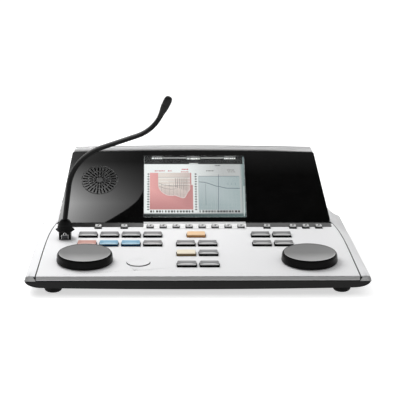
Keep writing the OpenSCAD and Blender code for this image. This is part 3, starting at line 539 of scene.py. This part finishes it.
for row, letter in ((1, "b"), (2, "c"), (3, "d")):
    for k in range(2):
        key_places["key_mid_%s%d" % (letter, k + 1)] = (
            MID_X + (k - 0.5) * KEY_PITCH, KEY_ROWS[row])
key_tones = {"key_left_b1": "pink", "key_left_b2": "blue", "key_left_b3": "blue",
             "key_mid_a1": "orange", "key_mid_c1": "cream"}
for node, (x, v) in key_places.items():
    tone = key_tones.get(node, "grey")
    cap = skinned(node + "_cap", key_skin(KEY_SIZE, KEY_CORNER), key_finishes[tone],
                  DESK @ Matrix.Translation((x * MM, v * MM, 0)), face_finish=below_rim)
    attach(cap, node)
    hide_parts(node)

# ---------------------------------------------------------------- the function keys
# Fourteen small caps at the foot of the fascia: a pale top that carries a few plain moulded
# marks, a skirt painted near-black as shade, and dark bars painted along the top's left and
# front edges as shadow.
SHOP = random.Random(11)
FKEY_SIZE, FKEY_CORNER = (7.7, 9.4, 2.6), 1.2
FKEY_PITCH = 14.88
FKEY_SLOTS = [-4, -2, 0, 1, 2, 3, 4, 5, 6, 7, 9, 11, 12, 13]
FKEY_MID, FKEY_V = 0.8, 158.3
fkey_pale = [finish("fkey_grey", tinted(226, 226, 226), 0.4, grain=0.3, depth=0.01),
             finish("fkey_skirt", tinted(10, 10, 10), 0.5, grain=0.3, depth=0.01, gloss=0.08)]
fkey_mark = finish("fkey_mark", tinted(8, 8, 8), 0.5, grain=0.2, depth=0.01)


def slab_points(outline, low, high):
    """The points and faces of a flat slab with that outline."""
    n = len(outline)
    points = [(x, y, low) for x, y in outline] + [(x, y, high) for x, y in outline]
    faces = [tuple(reversed(range(n))), tuple(range(n, 2 * n))]
    faces += [(k, (k + 1) % n, n + (k + 1) % n, n + k) for k in range(n)]
    return points, faces


def slabs(name, outlines, finishes, place, body):
    """Several thin slabs as one piece. Each entry is (outline, low, high)."""
    points, faces = [], []
    for outline, low, high in outlines:
        more, sides = slab_points(outline, low, high)
        faces += [tuple(len(points) + i for i in side) for side in sides]
        points += more
    piece = made(name, points, faces, finishes, place, sharp=20)
    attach(piece, body)
    return piece


def bar(x0, y0, x1, y1):
    """A rectangle as an outline."""
    return [(x0, y0), (x1, y0), (x1, y1), (x0, y1)]


for number, slot_no in enumerate(FKEY_SLOTS):
    node = "fkey_%02d" % (number + 1)
    x = FKEY_MID + (slot_no - 3.5) * FKEY_PITCH
    place = DESK @ Matrix.Translation((x * MM, FKEY_V * MM, 0))
    cap = skinned(node + "_cap", key_skin(FKEY_SIZE, FKEY_CORNER), fkey_pale, place,
                  face_finish=below_rim)
    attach(cap, node)
    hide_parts(node)
    # the first two bars, along the top's left and front edges, are painted shadow; the rest are
    # marks
    marks = [(bar(-3.7, -4.4, -1.9, 4.2), 2.1, 2.5), (bar(-1.9, -4.4, 3.5, -1.9), 2.1, 2.46)]
    for x in (0.1, 2.7):
        low, high = SHOP.uniform(-0.9, 0.6), SHOP.uniform(1.6, 4.0)
        marks.append((bar(x - 0.7, low, x + 0.7, high), 2.1, 2.48))
    marks.append((bar(-0.6, 1.2, SHOP.uniform(2.0, 3.4), 2.6), 2.1, 2.52))
    slabs(node + "_marks", marks, fkey_mark, place, node)

# ---------------------------------------------------------------- the strips by the keys
# Two charcoal aluminium strips lie in the groove at the foot of the fascia, and a white
# legend strip with a lip carries the middle function keys.
def strip_reflection(tree):
    """A colour rule: the strips are painted lighter as a reflection, except towards the microphone.
    """
    x = step(tree, "SeparateXYZ", {0: step(tree, "TexCoord").outputs["Object"]}).outputs[0]
    return step(tree, "MapRange", {0: x, 1: -0.118, 2: -0.056, 4: 0.75}).outputs[0]


# the strips' lighter grey away from the microphone, and their pale edges, are painted reflection
# and highlight
strip_grey = finish("strip_grey", tinted(26, 26, 26), 0.4, grain=0.3, depth=0.01, stretch=0.05,
                    edge=tinted(150, 150, 150), edge_paleness=0.6, gloss=0.2,
                    second=(tinted(120, 120, 120), strip_reflection))
legend_white = finish("legend_white", tinted(248, 248, 248), 0.5, grain=0.5, depth=0.006,
                      mottle=0.01, dust=0.02)
dress("key_strip", strip_grey, ease=0.12)
dress("legend_strip", legend_white, ease=0.12)
legend_ink = finish("legend_ink", tinted(120, 124, 128), 0.5, grain=0.2, depth=0.01)
ticks = []
for slot_no in range(7):
    x = FKEY_MID + (slot_no - 3) * FKEY_PITCH
    ticks += [(bar(x + x0, 157.6, x + x1, 158.2), 0.55, 0.64)
              for x0, x1 in ((-1.6, -0.4), (0.5, 1.4))]
slabs("legend_ticks", ticks, legend_ink, DESK, "console")

# ---------------------------------------------------------------- the dials
# Two large free-turning dials, turned from black acetal: a glossy skirt with a rolled rim,
# and a fine lathe-cut, softly dished face. The hollow underside clears the encoder's nut.
DIAL_V = 46
FACE_H, FACE_DROP, FACE_R = 9.5, 1.2, 27.7
dial_profile = [
    (3, -6), (3, 5.6), (9.5, 5.6), (9.5, 0.6), (29.6, 0.65), (30.1, 0.95), (30.4, 1.6),
    (30.46, 2.3), (30.3, 3.6), (30.1, 5.0), (29.95, 6.4), (29.8, 7.4), (29.65, 8.2),
    (29.3, 8.9), (28.9, 9.5), (28.55, 9.95), (28.2, 10.15), (27.8, 10.08), (27.4, 9.86),
    (26.2, 9.78), (23, 9.62), (18, 9.40), (13, 9.20), (8, 9.08), (3, 9.02), (0.6, 9.0)]


def turned_ring(radius, height, steps, lobes=0, lobe=0.0):
    """One closed ring of a turned piece, with optional lobes round it."""
    ring = []
    for k in range(steps):
        turn = math.tau * k / steps
        r = radius + (lobe * math.cos(lobes * turn) if lobes else 0)
        ring.append((r * math.cos(turn), r * math.sin(turn), height))
    return ring


dial_black = finish("dial_skirt", tinted(14, 14, 14), 0.25, grain=0.4, depth=0.004,
                    edge=tinted(60, 60, 60), edge_paleness=0.2, dust=0.0, gloss=0.06)
# the face's slopes that tilt to the back, mostly the front of the dish, are painted lighter as a
# highlight
dial_grey = finish("dial_face", tinted(128, 128, 128), 0.34, grain=0.3, depth=0.01, mottle=0.03,
                   dust=0.03, second=(tinted(206, 206, 206), towards((0, 1, 0), 0.0, 0.09)))
for side, x in (("left", -DIAL_X), ("right", DIAL_X)):
    node = "dial_" + side
    place = DESK @ Matrix.Translation((x * MM, DIAL_V * MM, 0))
    middle = place @ Vector((0, 0, FACE_H * MM))
    up_desk = DESK.to_3x3() @ Vector((0, 0, 1))
    rings = [turned_ring(r, h, 128) for r, h in dial_profile]

    def face_or_skirt(face, middle=middle, up_desk=up_desk):
        """Picks the lathe-cut finish for the faces of the dished top."""
        out = Vector(face.center) - middle
        radial = (out - out.dot(up_desk) * up_desk).length
        return 1 if out.dot(up_desk) > -FACE_DROP * MM and radial < FACE_R * MM else 0

    dial = skinned(node + "_turned", rings, [dial_black, dial_grey], place, sharp=42,
                   face_finish=face_or_skirt)
    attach(dial, node)
    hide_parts(node)

# ---------------------------------------------------------------- the tone switch
# A wide round button in the plate's own lacquer, dished for a fingertip and a little lower
# at its front edge, with a thin gap all round it; its steep side wall is painted near-black
# as shade. It is pressed straight down.
switch_white = finish("switch_white", SILVER, 0.5, grain=0.8, depth=0.004, mottle=0.006,
                      dust=0.01, gloss=0.35,
                      second=(SHADOW_GREY, towards((0, 0, 1), 0.55, 0.30)))
dress("tone_switch", switch_white, ease=0.15)

# ---------------------------------------------------------------- microphone socket and boot
# A black housing with a sprung chrome tab, and on top a rubber boot over the plug: a notched
# collar and a dome with grip rings, from which the arm rises.
MIC = DESK @ Matrix.Translation((-146.3 * MM, 122 * MM, 0))
# the pale edges of the black housing and the bright edges of the dark tab are painted highlights
socket_black = finish("socket_black", tinted(12, 12, 12), 0.3, grain=0.3, depth=0.01,
                      edge=tinted(170, 170, 170), edge_paleness=0.5, reach=0.4, dust=0.0, gloss=0.1)
latch_metal = finish("latch_metal", tinted(225, 225, 224), 0.2, metal=1.0, grain=0.2, depth=0.004)
tab_metal = finish("tab_metal", tinted(70, 70, 72), 0.3, metal=1.0, grain=0.2, depth=0.004,
                   edge=tinted(235, 235, 235), edge_paleness=0.8)
boot_rubber = finish("boot_rubber", tinted(15, 15, 15), 0.5, grain=0.3, depth=0.03,
                     edge=tinted(48, 48, 48), edge_paleness=0.4, dust=0.01, gloss=0.12)
dress("mic_socket", socket_black, ease=0.35)
dress("mic_latch", tab_metal, ease=0.2)
boot_profile = [
    (3.1, -6), (3.15, -5.6), (3.15, 9.6), (9.8, 9.62), (10.1, 9.9), (10.1, 10.6), (9.7, 10.9),
    (8.6, 11.1), (8.5, 11.6), (8.2, 12.0), (8.5, 12.4), (8.45, 13.2), (8.1, 13.6), (8.35, 14.0),
    (8.15, 15.0), (7.75, 15.4), (7.9, 15.9), (7.5, 17.0), (6.95, 18.1), (6.2, 19.4), (5.4, 20.5),
    (4.7, 21.2), (4.3, 21.45), (3.9, 21.3), (3.4, 21.0), (3.1, 20.8)]
COLLAR_R, COLLAR_NOTCHES, NOTCH_DEPTH = 9.5, 8, 0.45
boot_rings = [turned_ring(r, h, 96, COLLAR_NOTCHES if r > COLLAR_R else 0, NOTCH_DEPTH)
              for r, h in boot_profile]
boot = skinned("mic_boot", boot_rings, boot_rubber, MIC)
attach(boot, "console")
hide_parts("mic_plug")
ring_profile = [(1.7, -0.1), (1.7, 0.35), (1.5, 0.5), (1.2, 0.5), (1.05, 0.35), (1.05, -0.1)]
chrome_ring = skinned("mic_socket_ring", [turned_ring(r, h, 48) for r, h in ring_profile],
    latch_metal, MIC @ Matrix.Translation((0, -6.7 * MM, 7.0 * MM)) @ Matrix.Rotation(
        math.radians(90), 4, "X"))
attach(chrome_ring, "console")
frame_bars = [(bar(-3.9, 1.2, -3.5, 5.6), 0, 0.25), (bar(3.5, 1.2, 3.9, 5.6), 0, 0.25),
              (bar(-3.9, 5.6, 3.9, 5.95), 0, 0.25)]
slabs("mic_socket_trim", frame_bars, latch_metal,
      MIC @ Matrix.Translation((0, -6.7 * MM, 0)) @ Matrix.Rotation(math.radians(90), 4, "X"),
      "console")

# ---------------------------------------------------------------- the gooseneck
# A flexible steel arm in a thin ribbed black sleeve. It stands by itself: up from the boot,
# over to the right, and up again to the small microphone head.
NECK = Matrix.Translation((-0.1463, -0.02817, 0.05539)) @ Matrix.Rotation(
    math.radians(103), 4, "X") @ Matrix.Rotation(math.radians(-7.5), 4, "Z")
NECK_RISE, NECK_MID = 41.0, 40.4
BEND_RIGHT, BEND_LEFT = (58.0, math.radians(62.7)), (44.4, math.radians(46))
NECK_R = 2.94
RIB_PITCH, RIB_RISE, RIB_FALL, RIB_DEPTH, RIB_TAPER = 1.5, 0.45, 1.05, 0.10, 0.002
BOOT_BEND, ELBOW_BEND, ARM_BREAK = 22, 16, 22
LOWER_PIVOT = NECK_RISE + BEND_RIGHT[0] * BEND_RIGHT[1] + NECK_MID / 2
NECK_LENGTH = NECK_RISE + BEND_RIGHT[0] * BEND_RIGHT[1] + NECK_MID + BEND_LEFT[0] * BEND_LEFT[1]


def arm_at(run):
    """The place on the arm's centreline after a run from the boot, and its heading."""
    x, y, lean = 0.0, 0.0, 0.0
    legs = ((NECK_RISE, 0, 1), (BEND_RIGHT[0] * BEND_RIGHT[1], BEND_RIGHT[0], 1), (NECK_MID, 0, 1),
            (BEND_LEFT[0] * BEND_LEFT[1], BEND_LEFT[0], -1), (1000, 0, 1))
    for length, radius, way in legs:
        part = min(run, length)
        if radius:
            turn = part / radius * way
            x += way * radius * (math.cos(lean) - math.cos(lean + turn))
            y += way * radius * (math.sin(lean + turn) - math.sin(lean))
            lean += turn
        else:
            x += part * math.sin(lean)
            y += part * math.cos(lean)
        run -= part
        if run <= 0:
            break
    return Vector((x, y, 0)), lean


def arm_ring(run, radius, steps=28):
    """A ring of the sleeve square to the centreline."""
    middle, lean = arm_at(run)
    across = Vector((math.cos(lean), -math.sin(lean), 0))
    return [middle + radius * (across * math.cos(math.tau * k / steps)
                               - Vector((0, 0, 1)) * math.sin(math.tau * k / steps))
            for k in range(steps)]


def sleeve(start, end, radius):
    """Rings along the arm with a shallow rib at every pitch. It thins a little at each rib."""
    rings, run = [], start
    while run < end:
        radius -= RIB_TAPER
        rings.append(arm_ring(run, radius - RIB_DEPTH))
        rings.append(arm_ring(min(run + RIB_RISE, end), radius))
        rings.append(arm_ring(min(run + RIB_FALL, end), radius))
        run += RIB_PITCH
    rings.append(arm_ring(end, radius - RIB_DEPTH))
    return rings


# the sleeve's upward-facing side is painted grey as a highlight
neck_black = finish("neck_black", tinted(10, 10, 10), 0.36, grain=0.25, depth=0.02, dust=0.0,
                    second=(tinted(116, 116, 116), towards((0, -0.2, 1), 0.4, 0.95)), gloss=0.14)
arm_joint = LOWER_PIVOT - ARM_BREAK
lower_arm = skinned("gooseneck_rising", sleeve(-1.2, arm_joint, NECK_R), neck_black, NECK)
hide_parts("gooseneck_lower")
NECK @ (arm_at(0)[0] * MM)
NECK @ (arm_at(BOOT_BEND)[0] * MM)
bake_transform(lower_arm)
upper_arm = skinned("gooseneck_reaching", sleeve(arm_joint - 0.6, NECK_LENGTH - 1, NECK_R - 0.14),
                    neck_black, NECK)
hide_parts("gooseneck_upper")
NECK @ (arm_at(LOWER_PIVOT - ELBOW_BEND)[0] * MM)
NECK @ (arm_at(LOWER_PIVOT + ELBOW_BEND)[0] * MM)
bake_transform(upper_arm)

# ---------------------------------------------------------------- the microphone head
# A small turned capsule, anodised black, that swells out of the sleeve. It has a ring groove
# near its middle and a drilled tip, and it is crimped on the end of the arm.
capsule_black = finish("capsule_black", tinted(24, 24, 24), 0.45, grain=0.2, depth=0.02,
                       edge=tinted(70, 70, 70), edge_paleness=0.5, gloss=0.2)
head_profile = [(2.6, -3.0), (2.78, -2.0), (2.86, 0), (3.0, 2), (3.25, 4), (3.6, 6), (3.95, 8),
                (4.2, 10), (4.38, 12), (4.46, 14), (4.3, 14.25), (4.3, 14.75), (4.47, 15),
                (4.5, 17),
                (4.48, 19), (4.35, 20.6), (4.0, 22.0), (3.4, 23.1), (2.7, 23.7), (2.0, 23.9),
                (1.8, 23.55), (0.9, 23.5)]
head = skinned("microphone_head", [arm_ring(NECK_LENGTH + run, r, 40) for r, run in head_profile],
               capsule_black, NECK)
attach(head, "neck_upper")
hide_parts("mic_capsule")

# ---------------------------------------------------------------- the fascia
# A sloping panel in piano-black acrylic, cut through for the screen and, in a round field,
# with three rings of slots over the loudspeaker.
# the pale edges of the slots and of the screen opening are painted highlights
fascia_black = finish("fascia_black", tinted(9, 9, 9), 0.012, grain=1.2, depth=0.0004,
                      mottle=0.1, dust=0.006, edge=tinted(190, 190, 190), edge_paleness=0.9, reach=0.35)
dress("display_panel", fascia_black, ease=0.25)
speaker_dark = finish("speaker_dark", tinted(20, 20, 20), 0.8, grain=0.3, depth=0.05)
dress("loudspeaker", speaker_dark)

# ---------------------------------------------------------------- the screen
# A colour panel behind a flush glass: a dark header, two hearing charts with their scales,
# drawn here as thin lit layers on the panel's face.
module_metal = finish("module_metal", tinted(120, 124, 128), 0.4, metal=1.0, grain=0.4, depth=0.01)
dress("display_module", module_metal)


def lit(name, colour, strength=1.0, shade=None):
    """A lit layer of the picture, with the fine rows of a colour panel."""
    material = bpy.data.materials.new(name)
    material.use_nodes = True
    tree = material.node_tree
    shader = tree.nodes["Principled BSDF"]
    where = step(tree, "TexCoord").outputs["Object"]
    rows = step(tree, "TexWave", {"Vector": where, "Scale": 600.0, "Distortion": 0.0},
                bands_direction="X")
    cloud = step(tree, "TexNoise", {"Vector": where, "Scale": 30.0})
    tone = shade(tree, where, colour) if shade else colour
    dim = step(tree, "HueSaturation", {"Color": tone, "Value": 0.93})
    striped = blended(tree, rows.outputs["Fac"], tone, dim.outputs[0])
    warm = step(tree, "HueSaturation", {"Color": striped, "Value": 0.97})
    tree.links.new(blended(tree, cloud.outputs[0], striped, warm.outputs[0]),
                   shader.inputs["Emission Color"])
    shader.inputs["Emission Strength"].default_value = strength
    shader.inputs["Base Color"].default_value = (0.01, 0.01, 0.01, 1)
    shader.inputs["Roughness"].default_value = 0.5
    shader.inputs["Specular IOR Level"].default_value = 0.1
    return material


def page_shade(tree, where, colour):
    """The white page greys towards the right and turns teal at its lower and right edges."""
    spot = step(tree, "VectorMath", {0: where, 1: tuple(FASCIA.translation)},
                operation="SUBTRACT")
    rise = step(tree, "VectorMath", {0: spot.outputs[0],
                                     1: tuple(FASCIA.to_3x3() @ Vector((0, 1, 0)))},
                operation="DOT_PRODUCT")
    x = step(tree, "SeparateXYZ", {0: where}).outputs[0]
    far = step(tree, "MapRange", {0: x, 1: -0.012, 2: 0.034})
    page = blended(tree, far.outputs[0], colour, tinted(190, 190, 190))
    rim = step(tree, "MapRange", {0: x, 1: 0.0545, 2: 0.058})
    page = blended(tree, rim.outputs[0], page, tinted(136, 152, 152))
    low = step(tree, "MapRange", {0: rise.outputs["Value"], 1: 0.0174, 2: 0.0148})
    across = step(tree, "MapRange", {0: x, 1: -0.058, 2: 0.050})
    foot = blended(tree, across.outputs[0], tinted(2, 14, 16), tinted(84, 104, 104))
    return blended(tree, low.outputs[0], page, foot)


FADED_SHARE = 0.8


def fading(dark, right=(-0.050, -0.010), down=(0.064, 0.044)):
    """A shade rule: the colour runs over to a darker one towards the right and downwards."""
    def draw(tree, where, colour):
        spot = step(tree, "SeparateXYZ", {0: where})
        far = step(tree, "MapRange", {0: spot.outputs[0], 1: right[0], 2: right[1],
                                       4: FADED_SHARE})
        low = step(tree, "MapRange", {0: spot.outputs[1], 1: down[0], 2: down[1],
                                       4: FADED_SHARE})
        return blended(tree, sums(tree, "MAXIMUM", far.outputs[0], low.outputs[0]), colour, dark)
    return draw


PANEL_H = -2.45
page = lit("screen_page", tinted(250, 251, 250), shade=page_shade)
header = lit("screen_header", tinted(0, 0, 0))
pink = lit("screen_pink", tinted(240, 172, 170), shade=fading(tinted(190, 128, 128)))
cream = lit("screen_cream", tinted(238, 226, 218),
            shade=fading(tinted(204, 182, 178), right=(-0.034, -0.006), down=(0.074, 0.058)))
chart = lit("screen_chart", tinted(194, 202, 204),
            shade=fading(tinted(158, 172, 174), right=(0.010, 0.050), down=(0.072, 0.046)))
light_ink = lit("screen_light_ink", tinted(250, 250, 248), strength=1.15)
dark_ink = lit("screen_dark_ink", tinted(14, 16, 18))
grey_ink = lit("screen_grey_ink", tinted(116, 108, 106))
red_ink = lit("screen_red_ink", tinted(196, 44, 60))
blue_ink = lit("screen_blue_ink", tinted(80, 92, 104))


def layer(name, shapes, material, level):
    """Flat shapes of one colour, one tenth of a millimetre above the layer below."""
    low = PANEL_H + 0.1 * level
    return slabs(name, [(shape, low, low + 0.08) for shape in shapes], material, FASCIA,
                 "console")


def text_bits(x0, x1, s, tall):
    """A short unreadable line of type as small bars."""
    bits, x = [], x0
    while x < x1:
        long = min(SHOP.uniform(0.5, 1.5), x1 - x)
        bits.append(bar(x, s - tall * SHOP.uniform(0.35, 0.5), x + long, s + tall * 0.5))
        x += long + SHOP.uniform(0.3, 0.7)
    return bits


def hairline(points, thick):
    """A drawn line as a row of thin four-sided strokes."""
    strokes = []
    for (x0, s0), (x1, s1) in zip(points, points[1:]):
        along = Vector((x1 - x0, s1 - s0)).normalized() * thick / 2
        strokes.append([(x0 + along.y, s0 - along.x), (x1 + along.y, s1 - along.x),
                        (x1 - along.y, s1 + along.x), (x0 - along.y, s0 + along.x)])
    return strokes


layer("screen_page", [bar(-58.6, 10.2, 59.8, 101.4)], page, 0)
layer("screen_header", [bar(-58.4, 89.4, 58.6, 101.2)], header, 1)
layer("screen_header_type_and_glint", text_bits(-49.6, -37.2, 98.1, 2.4) + text_bits(-7.8, 8.1, 97.7, 2.8)
      + text_bits(37.0, 50.0, 97.9, 2.4) + text_bits(-4.9, 5.0, 90.2, 1.4)
      + hairline([(-36.4, 98.7), (-8.6, 98.7)], 0.6) + hairline([(8.8, 98.7), (36.4, 98.7)], 0.6)
      # the light line along the page's foot, at s 10.5, is a painted glint of the window's lower
      # edge
      + hairline([(-58.3, 10.5), (59.4, 10.5)], 0.6) + hairline([(59.0, 56), (57.9, 12.2)], 0.5),
      light_ink, 2)
layer("screen_pink", [bar(-52.0, 21.7, -3.0, 76.2), bar(-3.0, 21.7, -1.2, 58.0)], pink, 1)
lens = [(-42.2, 76.2), (-42.2, 56.8), (-41.3, 53.4), (-39.8, 50.6), (-38.0, 47.8), (-35.9, 45.6),
        (-33.5, 43.7), (-31.0, 42.5), (-26.1, 41.9), (-22.2, 42.5), (-17.3, 40.1), (-12.9, 38.2),
        (-10.5, 39.4), (-9.0, 42.8), (-7.5, 46.8), (-5.0, 50.5), (-4.3, 60), (-4.1, 76.2)]
layer("screen_lens", [lens], cream, 2)
lens_foot = [(-42.2, 50.6), (-38.2, 47.8), (-34, 43.7), (-29, 42.2), (-24, 42.2), (-20, 41.4),
             (-16, 39.4), (-12, 38.6), (-8.2, 45)]
layer("screen_lens_lines", [stroke for x, s in lens_foot[1:] for stroke in
                            hairline([(x, s + 0.5), (x, 60)], 0.18)]
      + [stroke for k in range(7) for stroke in
         hairline([(-21.5 + 2.2 * k, 54 - 0.8 * k), (-21.5 + 2.2 * k, 68)], 0.45)]
      + [stroke for s in (62.4, 57.0) for stroke in hairline([(-30, s), (-6, s)], 0.25)]
      + hairline([(-41.8, 69.3), (-4.4, 69.3)], 0.35)
      + hairline([(-41.5, 60.5), (-35, 57.6), (-28, 56.2), (-20, 55.8)], 0.4)
      + hairline([(-41.2, 56.0), (-34, 52.6), (-27, 51.4), (-21, 52.2)], 0.35), grey_ink, 3)
layer("screen_lens_glints", hairline([(-41.7, 68.2), (-4.2, 68.2)], 0.6)
      + hairline([(x, s) for x, s in lens[2:-1]], 0.22)
      + hairline([(-41.0, 63.2), (-4.6, 63.2)], 0.25)
      + hairline([(-41.0, 58.6), (-4.6, 58.6)], 0.25), light_ink, 3)
layer("screen_red_type", text_bits(-46.1, -34.3, 78.9, 1.6) + text_bits(-30.3, -25.9, 78.9, 1.6)
      + text_bits(-14.0, -6.1, 81.2, 1.8) + text_bits(-15.0, -5.6, 77.4, 1.4)
      + hairline([(-3.2, 75.8), (-3.4, 58.0)], 0.4), red_ink, 3)
layer("screen_chart", [bar(5.2, 21.1, 54.2, 70.8)], chart, 1)
grid_ink = lit("screen_grid_ink", tinted(186, 194, 196))
layer("screen_chart_lines", [stroke for k in range(1, 10) for stroke in
                             hairline([(5.4 + 4.9 * k, 21.4), (5.4 + 4.9 * k, 70.4)], 0.16)]
      + [stroke for k in range(1, 10) for stroke in
         hairline([(5.6, 21.4 + 4.95 * k), (54.0, 21.4 + 4.95 * k)], 0.14)], grid_ink, 2)
layer("screen_chart_curve", hairline([(6.0, 62.4), (12, 61.8), (16.3, 60.5), (26.1, 56.1),
                                      (30, 55.5), (37.8, 53.0), (54.0, 52.7)], 0.7)
      + hairline([(29.4, 73.6), (28.2, 21.3)], 0.5) + hairline([(5.8, 70.9), (53.6, 70.9)], 0.45)
      + hairline([(13.8, 60), (13.8, 28)], 0.3)
      + [stroke for x in (40.2, 44.6, 49.0) for stroke in hairline([(x, 61), (x, 58)], 0.3)],
      blue_ink, 3)
dots = [bar(x - SHOP.uniform(1.0, 1.4), s - 0.8, x + 1.0, s + 0.8)
        for x in (-53.6, 2.3) for s in [74.3 - 3.75 * k for k in range(15)]]
ticks = [bar(x, 17.6, x + SHOP.uniform(1.1, 2.5), 20.4)
         for x in [-51.4 + 3.45 * k for k in range(15)] + [6 + 3.45 * k for k in range(14)]]
layer("screen_scales", dots + text_bits(25.3, 31.7, 87.0, 1.3) + text_bits(15, 24, 79.2, 1.2),
      dark_ink, 1)
layer("screen_feet", ticks, dark_ink, 1)
layer("screen_grey_type", text_bits(40, 48.5, 80.4, 1.2) + text_bits(40.6, 49, 77.6, 1.0),
      grey_ink, 1)

glass = bpy.data.materials.new("window_glass")
glass.use_nodes = True
tree = glass.node_tree
shader = tree.nodes["Principled BSDF"]
smear = placed(tree, grain_effect, Grain_mm=14.0, Stretch=0.6)
tree.links.new(sums(tree, "MULTIPLY_ADD", smear.outputs["Cloud"], 0.05, 0.0),
               shader.inputs["Roughness"])
ripple = step(tree, "Bump", {"Strength": 0.3, "Distance": 0.00002,
                             "Height": smear.outputs["Height"]})
tree.links.new(ripple.outputs[0], shader.inputs["Normal"])
shader.inputs["Base Color"].default_value = (0.95, 0.985, 0.98, 1)
shader.inputs["Transmission Weight"].default_value = 1.0
shader.inputs["IOR"].default_value = 1.33
dress("display_window", glass, ease=0.2)

# ---------------------------------------------------------------- the crown rail
# A bright half-round aluminium bar caps the fascia and hides its joint with the rear slope.
# It is pressed on over both edges. Its crest is painted dark as shade, which shows as a thin
# line, and so is its underside where it turns to the fascia.
def rail_painted_shade(tree):
    """The dark shares of the rail, painted shade: its crest, and its turn to the fascia."""
    up = step(tree, "SeparateXYZ", {0: step(tree, "NewGeometry").outputs["Normal"]}).outputs[2]
    crest = step(tree, "MapRange", {0: up, 1: 0.84, 2: 0.89, 4: 0.7})
    below = step(tree, "MapRange", {0: up, 1: 0.28, 2: -0.36, 4: 0.8})
    return sums(tree, "MAXIMUM", crest.outputs[0], below.outputs[0])


rail_metal = finish("rail_metal", tinted(255, 255, 255), 0.32, metal=0.28, grain=0.25, depth=0.006,
                    stretch=0.04, mottle=0.02, dust=0.01, second=(tinted(44, 44, 44), rail_painted_shade))
dress("crown_rail", rail_metal)

# ---------------------------------------------------------------- inside: encoders and boards
# Plated encoders under the dials, and two green boards on the tub's posts. Little of them
# shows through the vents and key gaps.
encoder_metal = finish("encoder_metal", tinted(190, 190, 186), 0.3, metal=1.0, grain=0.3,
                       depth=0.01)
board_green = finish("board_green", tinted(30, 84, 52), 0.45, grain=2.0, depth=0.05)
dress("dial_encoders", encoder_metal, ease=0.1)
dress("circuit_boards", board_green)

# ---------------------------------------------------------------- rear sockets and switch
# Seven jacks, a round inlet and a square data port with black collars, and a rocker switch
# with the usual I and O.
# the sockets' pale edges are painted highlights, as on the microphone socket
dress("rear_sockets", socket_black, ease=0.2)
rocker_black = finish("rocker_black", tinted(24, 24, 24), 0.3, grain=0.3, depth=0.01)
dress("power_switch", rocker_black, ease=0.3)
ROCKER = Matrix.Translation((98 * MM, 143.5 * MM, 34 * MM)) @ Matrix.Rotation(
    math.radians(6), 4, "X") @ Matrix.Rotation(math.radians(90), 4, "X") @ Matrix.Rotation(
        math.pi, 4, "Y")
rocker_print = finish("rocker_print", tinted(230, 230, 230), 0.5, grain=0.2, depth=0.01)
circle = [(1.1 * math.cos(math.tau * k / 24), 1.1 * math.sin(math.tau * k / 24)) for k in range(25)]
marks = [(bar(-3.4, -1.1, -3.0, 1.1), 2.1, 2.6)]
for (x0, y0), (x1, y1) in zip(circle, circle[1:]):
    stroke = [(x0 + 3, y0), (x1 + 3, y1), (0.75 * x1 + 3, 0.75 * y1), (0.75 * x0 + 3, 0.75 * y0)]
    marks.append((stroke, 2.1, 2.6))
slabs("rocker_marks", marks, rocker_print, ROCKER, "power_switch")
